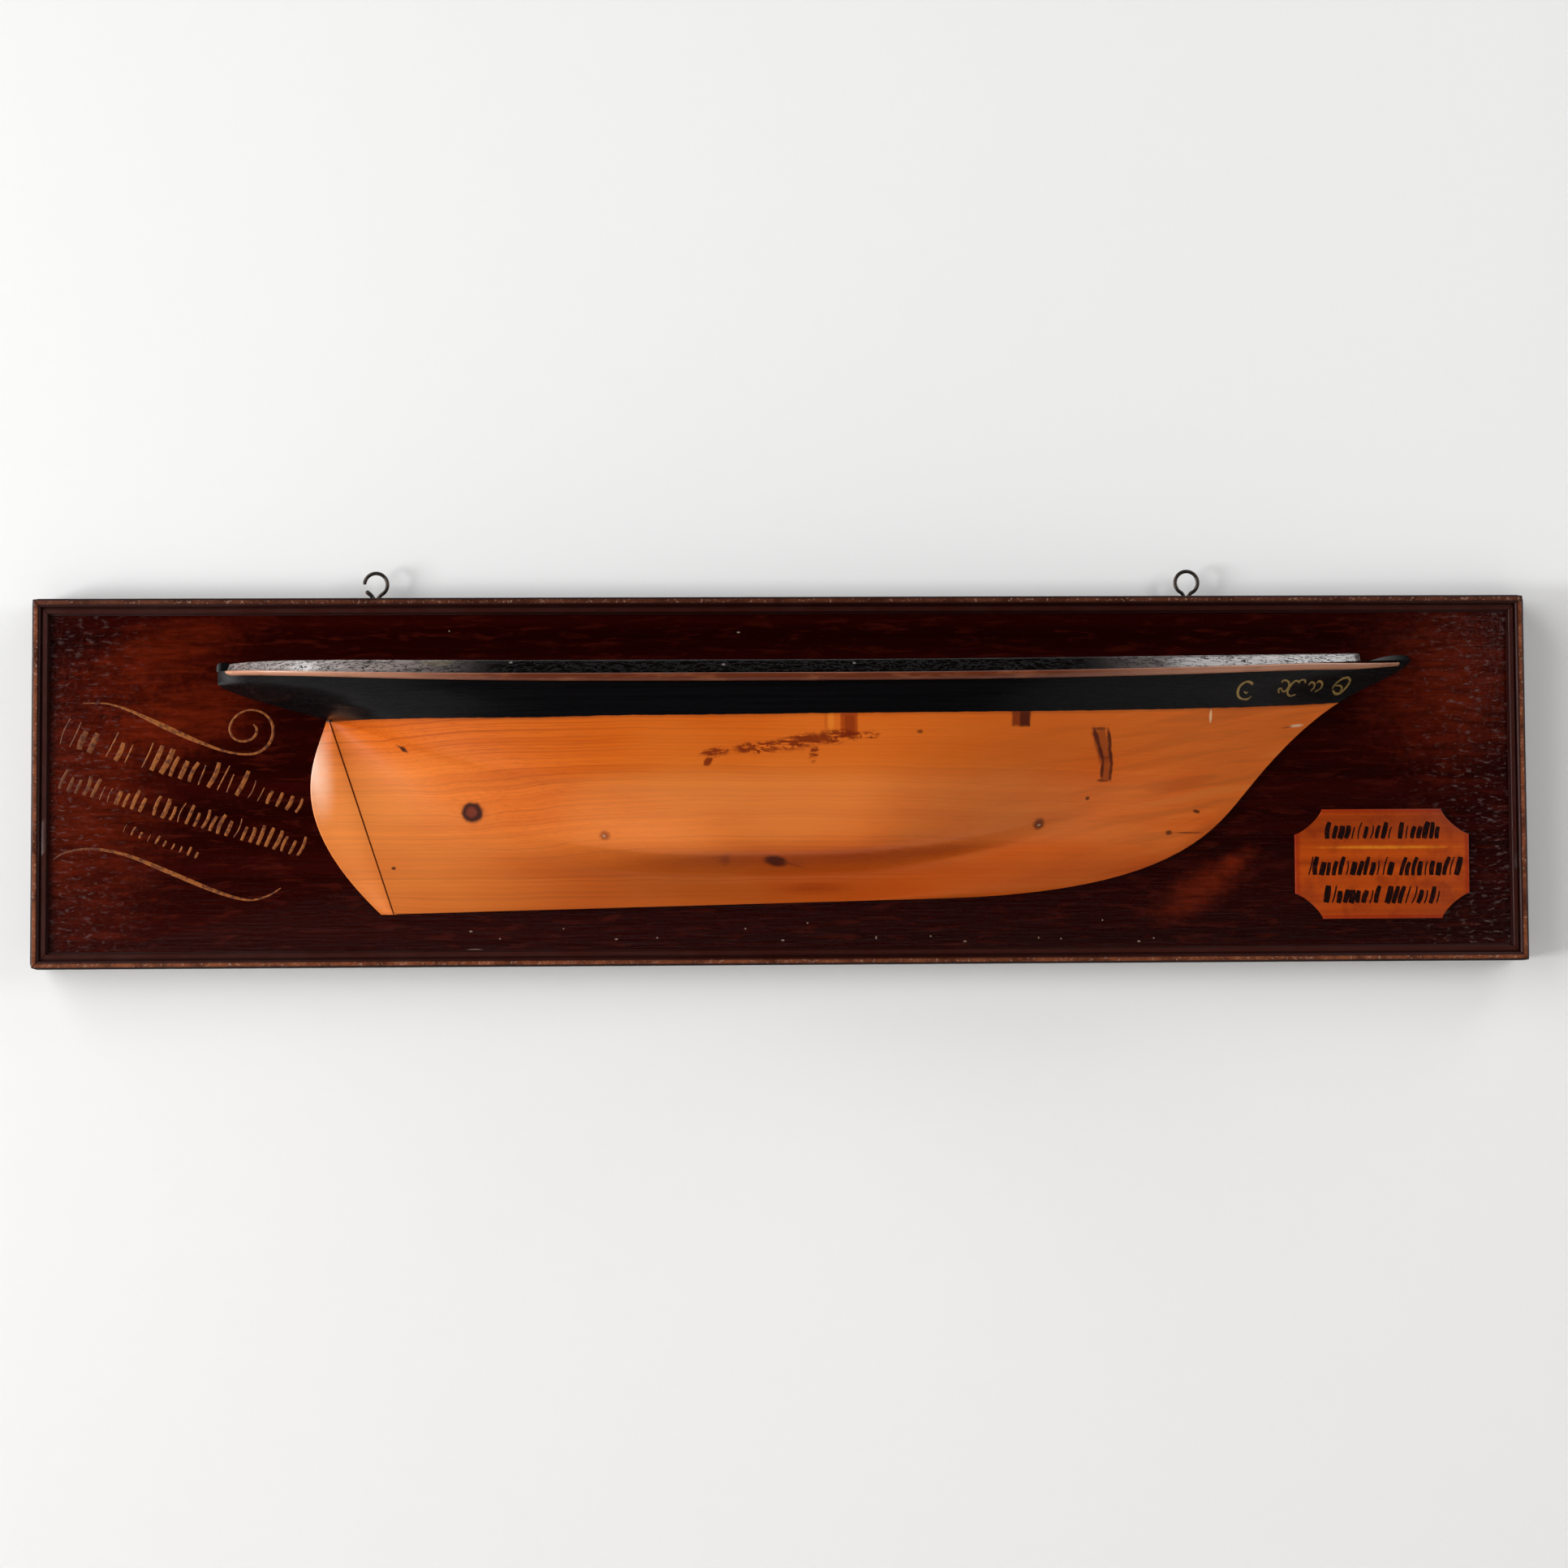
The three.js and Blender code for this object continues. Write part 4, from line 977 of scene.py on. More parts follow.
def rudder_point(s, t):
    """s runs from the scored line to the trailing edge, t from the heel to the head."""
    at = (1 - t) * (len(RUDDER_EDGE) - 1)
    low = min(int(at), len(RUDDER_EDGE) - 2)
    edge_x, z = (mix(RUDDER_EDGE[low][n], RUDDER_EDGE[low + 1][n], at - low) for n in (0, 1))
    post_x = mix(HEEL[0], TUCK[0], (z - HEEL[1]) / (TUCK[1] - HEEL[1]))
    column = round(s * RUDDER_COLUMNS)
    if column < 3:
        return post_x + (2.0, 0.5, -SCORE_HALF)[column], SEAT - KEEL_HALF + SCORE_DEPTH, z
    share = (column - 3) / (RUDDER_COLUMNS - 3)
    angle = share * math.pi / 2
    front = post_x - SCORE_HALF
    x = mix(front, min(edge_x, front - 0.5), math.sin(angle))
    if edge_x < front - 4:
        fullness = 1 - smooth(x, front, front + 1.12 * (edge_x - front)) ** 0.9
    else:
        fullness = math.cos(angle)
    thick = mix(TRAILING_EDGE, KEEL_HALF, fullness) - arris_drop(x - edge_x) * (share > 0.5)
    return x, SEAT - max(thick - arris_drop(z - RUDDER_EDGE[-1][1]), 0.8), z


def planted(along, across, place):
    """A shaped grid that is closed behind, on the board."""
    bm = bmesh.new()
    shaped_grid(bm, along, across, place)
    backed(bm, SEAT)
    return bm


carved = planted(LAST_COLUMN, len(ROWS) - 1, hull_point)
rudder = planted(RUDDER_COLUMNS, 90, rudder_point)
finished("half_hull_carved", joined(carved, rudder), hull_finish,
         ["half_hull"], sharp=50.0)

# %% [markdown]
# # Strip and top lift
# The strip is a half-round moulding, bent round the hull just under the deck line and pinned.
# The lift above it is the top plank of the hull: its face leans in, its upper corner is eased,
# and its ends are rounded. Both follow the hull's own edge, so both are laid along it.

# %% Strip
STRIP_FOOT = 1 - 7.4 / HULL_DEPTH
STRIP_FROM, STRIP_TO = HULL_AFT + 14, HULL_FORE - 18
STRIP_ROUND = 0.8
TOP_ENDS = level_ends(1)
FOOT_ENDS = level_ends(STRIP_FOOT)


def strip_point(s, t):
    x = mix(STRIP_FROM, STRIP_TO, crowded(s, 0.7))
    aft = smooth(x, STRIP_FROM - 7, STRIP_FROM + 6)
    fore = 1 - smooth(x, STRIP_TO - 70, STRIP_TO + 35)
    size = mix(0.35, 1, min(aft, fore))
    foot_x = clamp(x, FOOT_ENDS[0] + 0.1, FOOT_ENDS[1] - 0.1)
    foot_y = SEAT - half_breadth(foot_x, STRIP_FOOT, FOOT_ENDS)
    top = Vector((x, SEAT - half_breadth(x, 1, TOP_ENDS), sheer_z(x)))
    foot = Vector((foot_x, foot_y, level_z(foot_x, STRIP_FOOT)))
    dropped = Vector((0, 0, -2.6 * smooth(x, STRIP_TO - 110, STRIP_TO)))
    turning = (half_breadth(min(x + 1, TOP_ENDS[1]), 1, TOP_ENDS)
               - half_breadth(max(x - 1, TOP_ENDS[0]), 1, TOP_ENDS))
    out = Vector((-turning, -2.0, 0.0)).normalized()
    if t > STRIP_ROUND:
        back = (t - STRIP_ROUND) / (1 - STRIP_ROUND)
        return foot.lerp(top, 1 - size * back) - out * 0.2 + dropped
    angle = math.pi * (t / STRIP_ROUND - 0.5)
    point = foot.lerp(top, 1 - size * (0.5 - math.sin(angle) / 2))
    return point + out * (0.3 + 3.4 * size * max(math.cos(angle), 0) ** 0.7) + dropped


strip = bmesh.new()
rolled_bar(strip, 260, 20, strip_point)
finished("sheer_strip", strip, bare_wood, ["sheer_moulding"], sharp=60.0)

# %% Top lift
LIFT_FROM, LIFT_TO = HULL_AFT + 6.5, HULL_FORE - 56
LIFT_HEIGHT = 12.2
LIFT_ROUND, LIFT_NOSE = 9.0, 8.0
LIFT_STRETCH = HULL_LENGTH / (HULL_LENGTH - 7)
LIFT_LEAN = math.tan(math.radians(32))
LIFT_FACE, LIFT_FACE_ROWS = 0.84, 0.6


def round_end(share):
    """0 at the start of a rounded end, and 1 at its tip."""
    return 1 - math.sqrt(1 - share ** 2)


def lift_point(s, t):
    x = mix(LIFT_FROM, LIFT_TO, crowded(s, 0.75))
    aft, share = from_low_point(x)
    height = LIFT_HEIGHT * (1 - (0.45 * share ** 6 if aft else 0.5 * share ** 3))
    cut_back = LIFT_ROUND * round_end(clamp(1 - (LIFT_TO - x) / LIFT_ROUND))
    nose = round_end(clamp(1 - (x - LIFT_FROM) / LIFT_NOSE))
    deck_x = max(HULL_FORE - (HULL_FORE - x) * LIFT_STRETCH, HULL_AFT + 1.5)
    breadth = half_breadth(deck_x, 1, TOP_ENDS) - 1.2 - cut_back - 2.0 * nose
    if t <= LIFT_FACE_ROWS:
        up, eased = LIFT_FACE * t / LIFT_FACE_ROWS, 0
    else:
        angle = (t - LIFT_FACE_ROWS) / (1 - LIFT_FACE_ROWS) * math.pi / 2
        up = LIFT_FACE + (1 - LIFT_FACE) * math.sin(angle)
        eased = 1.4 * (1 - math.cos(angle))
    back = up * height * LIFT_LEAN + eased
    lower = 0.85 * height * nose
    return x, SEAT - max(breadth - back, 1.5), sheer_z(x) + AIR + lower + up * (height - lower)


finished("top_lift_eased", planted(300, 20, lift_point), lift_paint,
         ["top_lift"], sharp=50.0)

# %% Blocks at the stern and the stem
HEAD_LENGTH = 44.0
STERN_BLOCK = (HULL_AFT - 0.5, HULL_AFT + 10.0)


def stem_head_point(s, t):
    """A low black block that rises forward of the lift, with the same lean."""
    x = HULL_FORE - STEM_HALF - HEAD_LENGTH * (1 - s)
    rise = t * (1.4 + 5.0 * math.sin(math.pi * min(0.03 + 0.66 * s, 1)))
    breadth = max(half_breadth(x, 1 - 2.0 / HULL_DEPTH) - 0.8, 0.8)
    return x, SEAT - max(breadth - rise * LIFT_LEAN, 0.6), sheer_z(x) - 1.6 + rise


def stern_block_point(s, t):
    """A thin block against the board that closes the stern behind the lift's rounded nose."""
    x = mix(*STERN_BLOCK, s)
    from_end = clamp(1 - (x - STERN_BLOCK[0]) / 6.0)
    out = 2.0 + 3.0 * math.sin(math.pi * (0.5 - 0.35 * from_end))
    return x, SEAT - out, sheer_z(x) - 0.5 + t * (9.0 - 4.5 * round_end(from_end))


end_blocks = joined(planted(40, 8, stem_head_point), planted(16, 8, stern_block_point))
finished("end_blocks", end_blocks, hull_finish, sharp=50.0)

# %% [markdown]
# # Board and its moulding
# The board is one plank with its corners eased. The moulding is planted on its face in four
# lengths, mitred at the corners: a bead, a sunk line, a flat fillet and a quirk. A hand plane
# and a century of dusting leave such a bead wavy and dented, so its points are nudged a little.

# %% Moulding section
BEAD_WIDTH, BEAD_RISE = 8.3, 5.5
LINE_WIDTH, LINE_DEPTH = 1.5, 1.2
FILLET_WIDTH, FILLET_RISE = 4.3, 3.4
QUIRK_WIDTH, QUIRK_RISE = 1.9, 1.0
WORN_CORNERS = {(-1, 1): 3.2, (1, 1): 4.2, (1, -1): 3.2, (-1, -1): 6.0}


def moulding_section():
    """Across from the board's edge, and out from its face."""
    line_foot = FILLET_RISE - LINE_DEPTH
    after_line = BEAD_WIDTH + LINE_WIDTH
    fillet_end = after_line + FILLET_WIDTH
    wide = fillet_end + QUIRK_WIDTH
    bead = [[(share * BEAD_WIDTH, rise * BEAD_RISE) for share, rise in half] for half in (
        [(0, 0.35), (0, 1), (0.25, 1), (0.45, 1)],
        [(0.45, 1), (0.8, 1), (1, 0.85), (1, line_foot / BEAD_RISE)])]
    return ([(0, 0)] + bezier(bead[0], 8) + bezier(bead[1], 8)[1:]
            + [(after_line, line_foot), (after_line, FILLET_RISE - 0.3),
               (after_line + 0.3, FILLET_RISE), (fillet_end - 0.4, FILLET_RISE),
               (fillet_end, FILLET_RISE - 0.4), (fillet_end, QUIRK_RISE),
               (wide, 0.6 * QUIRK_RISE), (wide, 0), (0, 0)])


MOULDING = moulding_section()
print("moulding is", round(max(across for across, _ in MOULDING), 1), "mm wide")


def worn_corner(x, z):
    """A point of the board's outline, pulled in where it lies outside its corner's worn round."""
    side_x, side_z = math.copysign(1, x), math.copysign(1, z)
    worn = WORN_CORNERS[(int(side_x), int(side_z))]
    over = Vector((abs(x) - BOARD_LENGTH / 2 + worn, abs(z) - BOARD_HEIGHT / 2 + worn))
    if over.x > 0 and over.y > 0 and over.length > worn:
        over *= worn / over.length
    return (side_x * (over.x + BOARD_LENGTH / 2 - worn),
            side_z * (over.y + BOARD_HEIGHT / 2 - worn))


def wear_nudge(x, out, z):
    """A slow waver and a few shallow dents, larger where the moulding stands proud."""
    waver = noise.noise(Vector((x * 0.011, z * 0.011, 3.1))) * 0.22
    dent = max(noise.noise(Vector((x * 0.05, z * 0.05, 7.7))) - 0.35, 0) * 2.2
    return (waver - dent) * smooth(out, 1.5, 5.0)


# %% Board
board = bmesh.new()
bmesh.ops.create_cube(board, size=1.0)
for vert in board.verts:
    vert.co = Vector((vert.co.x * BOARD_LENGTH, (vert.co.y - 0.5) * BOARD_THICKNESS,
                      vert.co.z * BOARD_HEIGHT)) * MM
for (side_x, side_z), worn in WORN_CORNERS.items():
    eased(board, [e for e in board.edges if abs(e.verts[0].co.y - e.verts[1].co.y) > 0.01
                  and all(v.co.x * side_x > 0 and v.co.z * side_z > 0 for v in e.verts)],
          worn, segments=6)
eased(board, [e for e in board.edges if e.calc_face_angle(0) > math.radians(40)], 0.7)
finished("board_plank", board, board_varnish, ["backboard"])


# %% Moulding lengths
def moulding_length(side, turn, count):
    """One length: turn says which way it runs and on which side of the middle it lies."""
    upright = side in ("aft", "fore")
    length, edge = (BOARD_HEIGHT, BOARD_LENGTH) if upright else (BOARD_LENGTH, BOARD_HEIGHT)

    def place(s, t):
        across, out = MOULDING[round(t * (len(MOULDING) - 1))]
        run = turn[0] * mix(-1, 1, s) * (length / 2 - across - AIR)
        level = turn[1] * (edge / 2 - across)
        x, z = (level, run) if upright else (run, level)
        out += wear_nudge(x, out, z) if out > 1.5 else 0
        x, z = worn_corner(x, z)
        return x, SEAT - out, z

    bar = bmesh.new()
    rolled_bar(bar, count, len(MOULDING) - 1, place)
    finished(f"moulding_{side}_worn", bar, moulding_varnish,
             [f"edge_moulding_{side}"], sharp=40.0)


moulding_length("top", (1, 1), 240)
moulding_length("bottom", (-1, -1), 240)
moulding_length("aft", (1, -1), 70)
moulding_length("fore", (-1, 1), 70)

# %% [markdown]
# # Tablet
# A thin plate with its corners scooped out in quarter ovals, planted on the board and painted.
# Its outline is one face that is given its thickness, and its front edge is eased.

# %% Tablet
TABLET_WIDTH, TABLET_HEIGHT, TABLET_THICK = 164.0, 102.5, 2.4
SCOOP_WIDTH, SCOOP_HEIGHT = 26.0, 23.5
SCOOP_FLATNESS = 1.5
TABLET_X = BOARD_LENGTH / 2 - 55 - TABLET_WIDTH / 2
TABLET_Z = -BOARD_HEIGHT / 2 + 40 + TABLET_HEIGHT / 2


def tablet_outline():
    points = []
    for across, up, start in [(1, 1, 180), (1, -1, 90), (-1, -1, 0), (-1, 1, -90)]:
        for i in range(19):
            angle = math.radians(start + 5 * i)
            flat = [math.copysign(abs(v) ** SCOOP_FLATNESS, v)
                    for v in (math.cos(angle), math.sin(angle))]
            points.append((TABLET_X + across * TABLET_WIDTH / 2 + SCOOP_WIDTH * flat[0],
                           TABLET_Z + up * TABLET_HEIGHT / 2 + SCOOP_HEIGHT * flat[1]))
    return points


tablet = bmesh.new()
rim = [tablet.verts.new((x * MM, SEAT * MM, z * MM)) for x, z in tablet_outline()]
plate = tablet.faces.new(rim)
raised = bmesh.ops.extrude_face_region(tablet, geom=[plate])["geom"]
front = [v for v in raised if isinstance(v, bmesh.types.BMVert)]
bmesh.ops.translate(tablet, vec=(0, -TABLET_THICK * MM, 0), verts=front)
eased(tablet, [e for e in raised if isinstance(e, bmesh.types.BMEdge)], 0.5)
bmesh.ops.recalc_face_normals(tablet, faces=tablet.faces)
finished("tablet_plate", tablet, tablet_paint, ["tablet"])

# %% [markdown]
# # Screw eyes and pins
# Each eye is one steel wire: a shank in the top edge of the board, then a ring bent round a
# former. A circle of points is carried along the bent line. The aft ring stands open before its
# short end, so it takes two bars. The pins that hold the hull are small round heads, sunk almost
# flush.


# %% Bars along a line
def fair_line(corners, per_span):
    """Points of a fair line through all the corners."""
    points = []
    spans = len(corners) - 1
    for i in range(spans):
        before, after = corners[max(i - 1, 0)], corners[min(i + 2, spans)]
        start, end = corners[i], corners[i + 1]
        points += [hermite(start, end, (end - before) * 0.5, (after - start) * 0.5, k / per_span)
                   for k in range(per_span)]
    return points + [corners[-1]]


def bar_along(line, around, offset):
    """A closed bar along a line in the board's plane. offset(i, angle) is across and into it."""
    bar = bmesh.new()
    last = len(line) - 1

    def place(s, t):
        i = round(s * last)
        ahead = (line[min(i + 1, last)] - line[max(i - 1, 0)]).normalized()
        across, inward = offset(i, 2 * math.pi * t)
        return line[i] + Vector((ahead.z, 0, -ahead.x)) * across + Vector((0, 1, 0)) * inward

    rolled_bar(bar, last, around, place)
    return bar


# %% Screw eyes
EYE_X = 763 / 2
EYE_RADIUS, EYE_WIRE = 10.7, 1.75
EYE_Y, EYE_Z = -BOARD_THICKNESS / 2, BOARD_HEIGHT / 2 + 3 + EYE_RADIUS
EYE_FOOT = EYE_Z - EYE_RADIUS - 3
THIN_ENDS = (0.62, 0.9)


def wire_along(corners, radius):
    """A round wire with rounded ends."""
    line = fair_line([Vector((x, EYE_Y, z)) for x, z in corners], 3)

    def offset(i, angle):
        from_end = min(i, len(line) - 1 - i)
        thin = radius * (THIN_ENDS[from_end] if from_end < 2 else 1)
        return thin * math.cos(angle), thin * math.sin(angle)

    return bar_along(line, 16, offset)


def on_ring(x, turns):
    return [(x + EYE_RADIUS * math.cos(math.radians(turn)),
             EYE_Z + EYE_RADIUS * math.sin(math.radians(turn))) for turn in turns]


def shank(x):
    return [(x, EYE_FOOT - 22), (x, EYE_FOOT - 6), (x + 1.5, EYE_FOOT)]


fore_ring = (shank(EYE_X) + on_ring(EYE_X, range(-68, 250, 12))
             + [(EYE_X - 2.2, EYE_FOOT + 0.6)])
finished("screw_eye_fore_ring", wire_along(fore_ring, EYE_WIRE), dark_steel,
         ["screw_eye_fore"])
aft_ring = shank(-EYE_X) + on_ring(-EYE_X, range(-62, 188, 12))
aft_tail = [(-EYE_X - 1.2, EYE_FOOT - 1)] + on_ring(-EYE_X, (243, 228, 213))
aft_eye = joined(wire_along(aft_ring, EYE_WIRE), wire_along(aft_tail, 1.15 * EYE_WIRE))
finished("screw_eye_aft_ring", aft_eye, dark_steel, ["screw_eye_aft"])

# %% Pins
PIN_RADIUS, PIN_DEPTH = 1.7, 6.4
for name, x, z in (("hull_pin_aft", -163.5, -51.5), ("hull_pin_fore", 231.5, -43.0)):
    pin = bmesh.new()
    bmesh.ops.create_cone(pin, cap_ends=True, segments=32, radius1=PIN_RADIUS * MM,
                          radius2=PIN_RADIUS * MM, depth=PIN_DEPTH * MM)
    head = hull_surface_y(x, z) + 0.1
    bmesh.ops.rotate(pin, cent=(0, 0, 0), matrix=Matrix.Rotation(math.radians(90), 3, "X"),
                     verts=pin.verts)
    bmesh.ops.translate(pin, vec=Vector((x, head + PIN_DEPTH / 2, z)) * MM, verts=pin.verts)
    eased(pin, [e for e in pin.edges if all(abs(v.co.y - head * MM) < 0.1 * MM
                                            for v in e.verts)], 0.4)
    finished(name + "_head", pin, pin_metal, [name])

# %% [markdown]
# # Painted strokes
# A sign writer's brush leaves a film that is thick in the middle and thin at its ends. Each
# stroke here is a flat bar with a rounded back that follows a line, and swells and thins with
# it. Rows of plain strokes stand where the board had writing. They are set out like words,
# and no stroke is a letter.

# %% Brush strokes
PAINT_FILM, PAINT_LIFT = 0.14, 0.02


def brushed(bm, line, widths, surface_y):
    """A stroke along points (x, z): widths at even places, laid on surface_y(x, z)."""
    middle = fair_line([Vector((x, 0, z)) for x, z in line], max(3, 14 // len(line)))

    def offset(i, angle):
        at = i / (len(middle) - 1) * (len(widths) - 1)
        low = min(int(at), len(widths) - 2)
        half = max(mix(widths[low], widths[low + 1], at - low) / 2, 0.05)
        return half * math.cos(angle), -PAINT_FILM * math.sin(angle)

    stroke = bar_along(middle, 8, offset)
    for vert in stroke.verts:
        vert.co.y += (surface_y(vert.co.x / MM, vert.co.z / MM) - PAINT_LIFT) * MM
    add_shell(bm, stroke)


def on_board(x, z):
    return BOARD_FACE


def on_tablet(x, z):
    return SEAT - TABLET_THICK


# %% Flourishes on the board
flourish = bmesh.new()
upper = [(-651.4, 74.5), (-628.9, 74.4), (-607.1, 67.5), (-592.0, 60.5), (-577.8, 53.8),
         (-559.0, 45.0), (-540.3, 37.0), (-522.0, 30.3), (-508.0, 27.2), (-498.0, 26.8),
         (-489.5, 28.2), (-482.0, 33.0), (-477.0, 40.0), (-475.2, 48.5), (-477.0, 57.0),
         (-482.5, 63.8), (-490.0, 67.4), (-498.0, 67.8), (-506.0, 65.0), (-512.0, 59.5),
         (-515.3, 52.5), (-514.6, 46.0), (-511.0, 41.2), (-505.5, 39.0), (-499.5, 39.2),
         (-494.0, 41.8), (-490.8, 46.3), (-490.6, 51.0), (-493.5, 54.6)]
upper_widths = [0.8, 1.4, 2.4, 3.6, 4.8, 4.4, 3.0, 2.2, 1.8, 2.0, 2.3, 2.6, 2.8, 2.8, 2.5, 2.1,
                1.9, 1.7, 1.8, 2.0, 2.3, 2.2, 2.0, 2.0, 2.2, 2.4, 2.6, 2.2, 1.2]
lower = [(-677.4, -70.1), (-665.5, -63.4), (-641.6, -60.5), (-611.7, -65.9), (-577.2, -79.7),
         (-539.7, -95.7), (-512.8, -105.6), (-494.0, -108.7), (-478.3, -104.3), (-467.8, -97.6)]
brushed(flourish, upper, upper_widths, on_board)
brushed(flourish, lower, [1.0, 1.8, 2.4, 2.8, 4.0, 3.8, 2.6, 1.8, 1.6, 0.8], on_board)
finished("gold_flourishes", flourish, gold_paint, sharp=70.0)

# %% Rows of strokes
WORD_GAP = 0.8
draw = random.Random(7)


def stroke_row(bm, start, end, height, words, surface_y, thick, slant=8.0):
    """A row of upright strokes from start to end, in words of so many strokes each."""
    step = Vector((end[0] - start[0], end[1] - start[1])) \
        / (sum(words) + WORD_GAP * (len(words) - 1))
    up = Vector((-step.y, step.x)).normalized()
    lean = step.normalized() * math.tan(math.radians(slant))
    at = 0.5
    for count in words:
        for k in range(count):
            tall = height * draw.choice((0.72, 0.78, 1.0)) if k else height
            foot = Vector(start) + step * at + up * draw.uniform(-0.02, 0.02) * height
            bow = step.normalized() * draw.uniform(-0.08, 0.08) * tall
            leaning = up + lean * draw.choice((0.6, 1.0, 1.0, 1.3))
            line = [foot + leaning * tall * share + bow * math.sin(math.pi * share)
                    for share in (0, 0.35, 0.7, 1)]
            wide = thick * draw.choice((0.3, 0.8, 0.9, 1.0, 1.2))
            brushed(bm, line, [wide * 0.85, wide, wide, wide * 0.8], surface_y)
            at += 1
        at += WORD_GAP


gold_rows = bmesh.new()
stroke_row(gold_rows, (-676, 38.5), (-505, -13), 25.0, [4, 3, 11], on_board, 4.6)
stroke_row(gold_rows, (-503, -13), (-450, -29), 18.0, [6], on_board, 3.2)
stroke_row(gold_rows, (-676, -3.5), (-449, -69), 19.0, [11, 19], on_board, 3.5)
stroke_row(gold_rows, (-617, -44), (-543, -71), 8.5, [10], on_board, 1.9)
finished("gold_strokes", gold_rows, gold_paint, sharp=70.0)

ink_rows = bmesh.new()
stroke_row(ink_rows, (506, -57), (615, -57.5), 15.5, [11, 7], on_tablet, 4.7, 14)
stroke_row(ink_rows, (488, -91), (633, -92), 17.0, [14, 10], on_tablet, 4.7, 14)
stroke_row(ink_rows, (504, -117), (614, -118), 16.0, [9, 9], on_tablet, 5.0, 14)
finished("ink_strokes", ink_rows, ink_paint, sharp=70.0)

# %% Scrolls at the bow
SCROLLS = [  # the points of each stroke, then its widths
    ([(427.7, 83.6), (424.5, 85.6), (420.2, 85.5), (415.8, 82.3), (414.2, 77.7), (415.7, 73.1),
      (420.1, 70.9), (425.1, 71.0), (428.7, 73.5)], [2.6, 2.2, 1.3, 2.2, 2.6, 2.2, 1.5, 1.6, 1.0]),
    ([(420.4, 77.6), (422.6, 76.2), (424.4, 77.3)], [1.0, 1.6, 1.0]),
    ([(456.3, 77.2), (454.6, 79.3), (456.6, 81.2), (459.8, 78.2), (463.4, 80.2), (464.7, 84.1),
      (461.9, 87.4), (457.7, 87.8), (456.5, 86.0)], [1.2, 2.0, 1.2, 1.2, 2.0, 2.2, 1.6, 1.4, 1.6]),
    ([(474.9, 86.6), (470.5, 87.8), (466.9, 85.0), (464.8, 80.3), (465.0, 76.6), (468.4, 74.7),
      (473.3, 76.2)], [1.6, 1.6, 2.2, 2.2, 1.8, 1.4, 1.0]),
    ([(473.4, 86.0), (475.8, 88.6), (480.0, 88.4), (480.2, 86.1)], [1.0, 1.4, 1.8, 1.2]),
    ([(484.8, 84.3), (486.6, 87.0), (490.4, 85.8), (490.9, 82.5), (488.1, 79.5)],
     [1.2, 2.0, 2.0, 1.4, 0.8]),
    ([(492.4, 86.5), (494.6, 88.1), (498.3, 86.7), (498.7, 83.4), (495.8, 80.7), (492.9, 79.2)],
     [1.2, 2.0, 2.0, 1.6, 1.2, 0.8]),
    ([(511.6, 81.0), (515.7, 78.1), (520.8, 79.3), (525.4, 84.1), (527.2, 89.5), (524.5, 92.0),
      (519.9, 91.6), (516.4, 89.7), (512.4, 86.3), (510.6, 82.2)],
     [1.6, 2.4, 1.8, 2.0, 2.4, 2.2, 1.8, 1.6, 1.4, 1.2]),
    ([(513.3, 84.8), (516.6, 85.4), (520.0, 84.2), (521.2, 82.0), (519.3, 80.8)],
     [1.0, 1.6, 1.8, 1.4, 1.0])]
scrolls = bmesh.new()
for points, widths in SCROLLS:
    brushed(scrolls, points, widths, hull_surface_y)
finished("bow_scrolls", scrolls, old_gilding, sharp=70.0)

# %% [markdown]
# # Wall, floor and lights
# The model hangs on a pale wall, lit as on a copy stand: soft boxes to the left, from low to
# high, and fewer to the right. The room in front of the model stays dimmer, so that the black
# paint shows the boxes at its ends and nothing in the middle.

# %% Wall and floor
SHEET_HALF, WALL_Y, FLOOR_Z = 4000.0, 4.0, -1350.0


def pale_sheet(name, finish, place):
    sheet = bmesh.new()
    shaped_grid(sheet, 1, 1, lambda s, t: place(mix(-SHEET_HALF, SHEET_HALF, s),
                                                mix(-SHEET_HALF, SHEET_HALF, t)))
    mesh = bpy.data.meshes.new(name)
    sheet.to_mesh(mesh)
    sheet.free()
    mesh.materials.append(finish.material)
    obj = bpy.data.objects.new(name, mesh)
    bpy.context.scene.collection.objects.link(obj)


pale_wall = Finish("pale_wall")
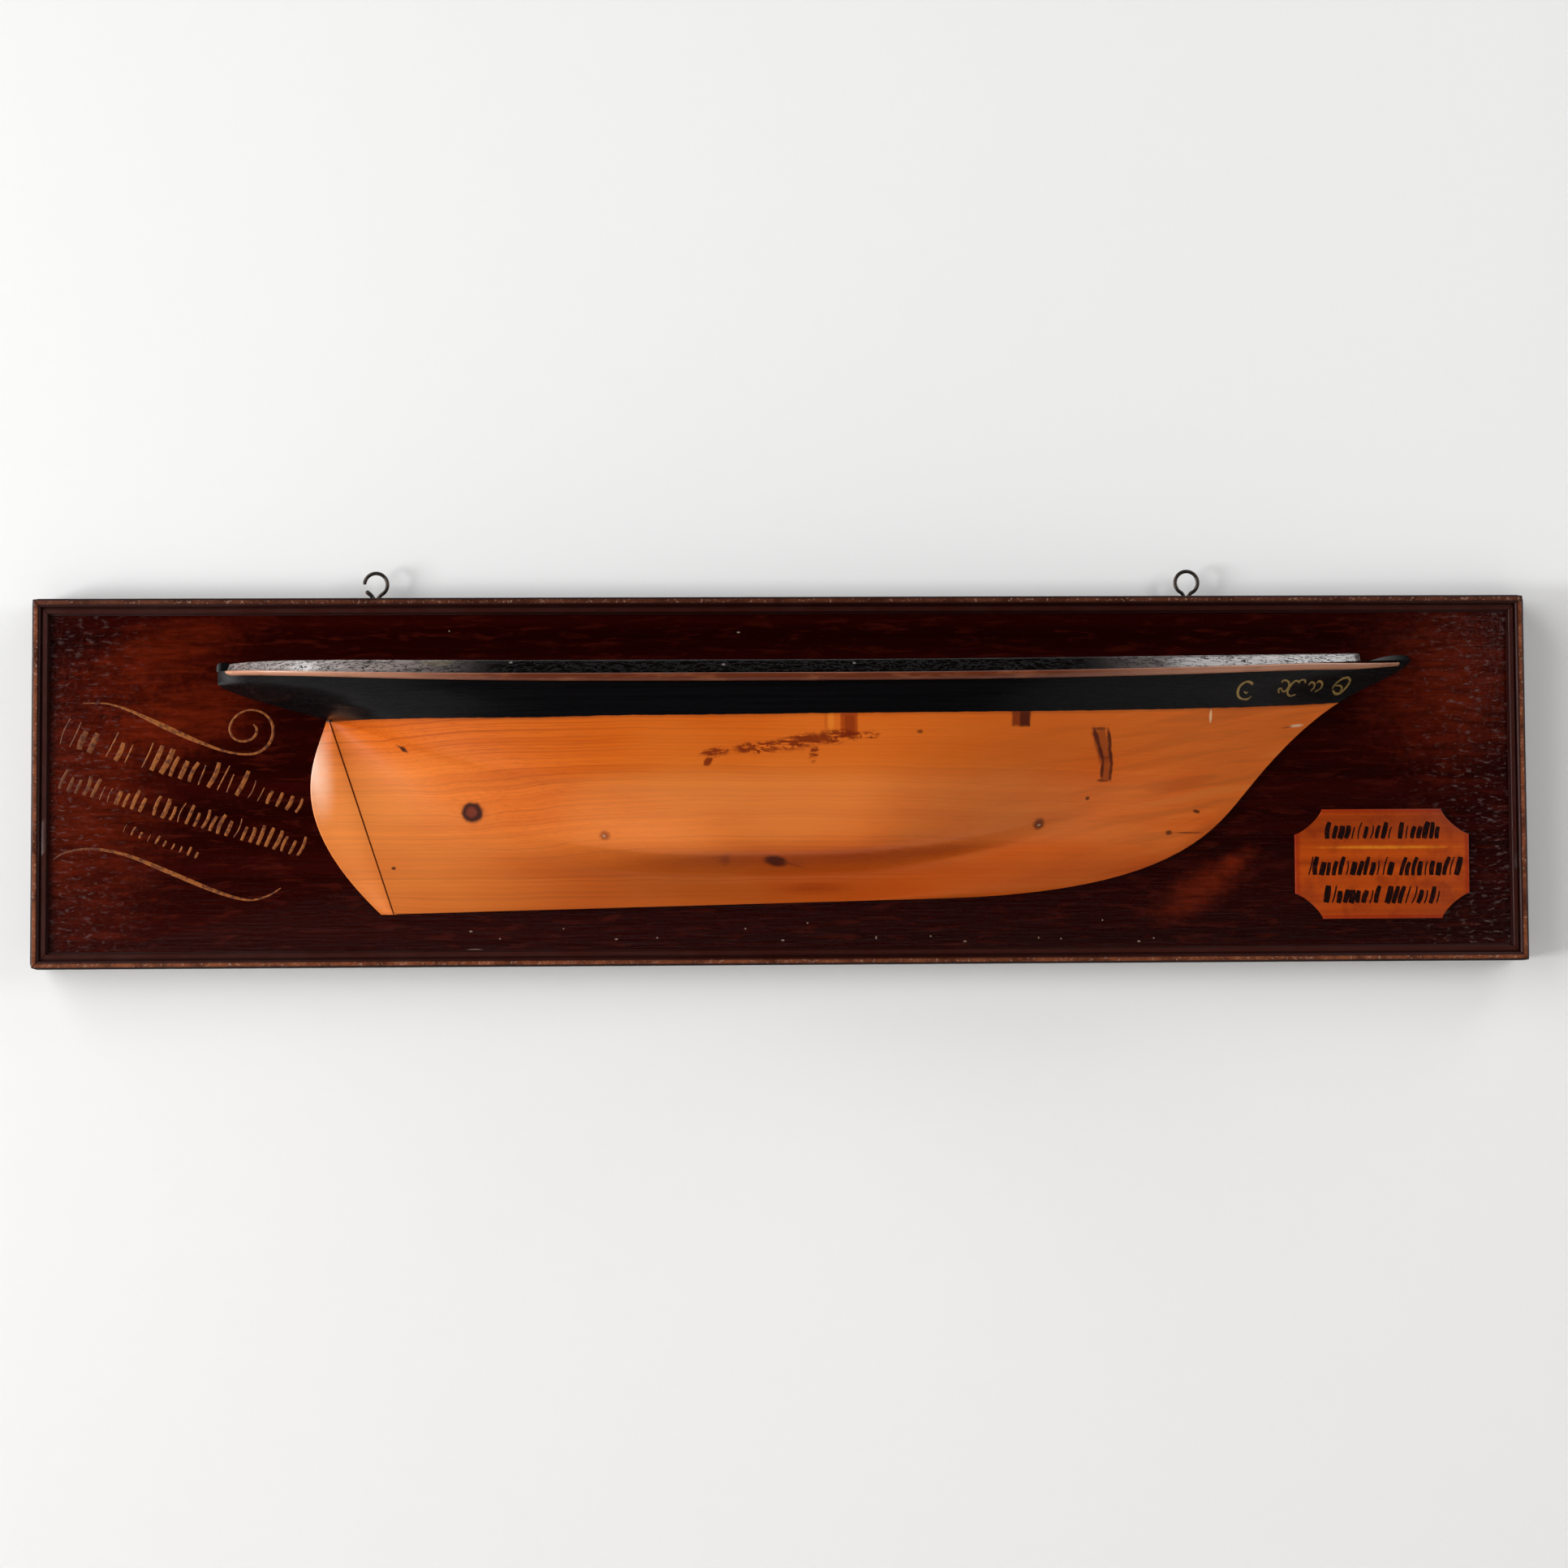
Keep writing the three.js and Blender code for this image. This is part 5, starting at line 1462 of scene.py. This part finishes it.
# painted light: the wall is paler to the right, to offset the light falling off away from the lamps
# on the left
to_the_right = pale_wall.coords.apart()[0].ramp(-0.7, 0.7, kind="LINEAR")
even_light = pale_wall.mixed(to_the_right, 0xe6e6e6, 0xf5f5f5)
clouds = pale_wall.coords.noise(1.2, detail=2.0) * 0.1
pale_wall.show(pale_wall.mixed(clouds, even_light, 0xe0e0e0), 0.9)
from_behind = pale_wall.wire("NewGeometry", out="Backfacing")
paint = Wire(pale_wall, pale_wall.surface.outputs[0])
see_through = pale_wall.wire("BsdfTransparent")
one_sided = pale_wall.wire("MixShader", {0: from_behind, 1: paint, 2: see_through})
pale_wall.put(pale_wall.tree.nodes["Material Output"].inputs["Surface"], one_sided)
pale_sheet("wall", pale_wall, lambda x, z: (x, WALL_Y, z))

pale_floor = Finish("pale_floor")
pale_floor.show(pale_floor.mixed(pale_floor.coords.noise(2.0), 0xc8c5c1, 0xd2cfcb), 0.8)
pale_sheet("floor", pale_floor, lambda x, y: (x, y, FLOOR_Z))

# %% Lights
SOFT_BOX_SPREAD = math.radians(110)
SOFT_BOXES = [
    # name, turned right of straight ahead, raised, metres away, width, height, watts
    ("soft_left", -66, 12, 6.0, 1.9, 3.8, 53),
    ("soft_left_high", -62, 42, 5.5, 2.2, 2.2, 35),
    ("soft_left_low", -66, -12, 5.2, 1.6, 1.6, 84),
    ("soft_left_top", -82, 48, 5.5, 2.4, 2.4, 12),
    ("soft_left_near", -50, 18, 6.0, 1.9, 3.2, 18),
    ("soft_right", 58, 15, 6.0, 1.5, 3.0, 38),
    ("soft_right_high", 74, 50, 5.5, 2.4, 2.2, 36),
]
for name, turned, raised, away, wide, high, watts in SOFT_BOXES:
    data = bpy.data.lights.new(name, "AREA")
    data.shape = "RECTANGLE"
    data.size, data.size_y, data.energy = wide, high, watts
    data.spread = SOFT_BOX_SPREAD
    light = bpy.data.objects.new(name, data)
    across, up = math.radians(turned), math.radians(raised)
    light.location = away * Vector((math.sin(across) * math.cos(up),
                                    -math.cos(across) * math.cos(up), math.sin(up)))
    light.rotation_euler = (-light.location).to_track_quat("-Z", "Y").to_euler()
    bpy.context.scene.collection.objects.link(light)
print("soft boxes:", len(SOFT_BOXES))

world = bpy.data.worlds.new("room")
world.use_nodes = True
room = Steps(world.node_tree)
background = world.node_tree.nodes["Background"]
background.inputs["Color"].default_value = (1.0, 1.0, 1.0, 1.0)
mirrored = room.wire("LightPath", out="Is Glossy Ray")
room.put(background.inputs["Strength"], mirrored.ramp(0.0, 1.0, 0.05, 0.004, kind="LINEAR"))
bpy.context.scene.world = world
bpy.context.scene.view_settings.view_transform = "Standard"
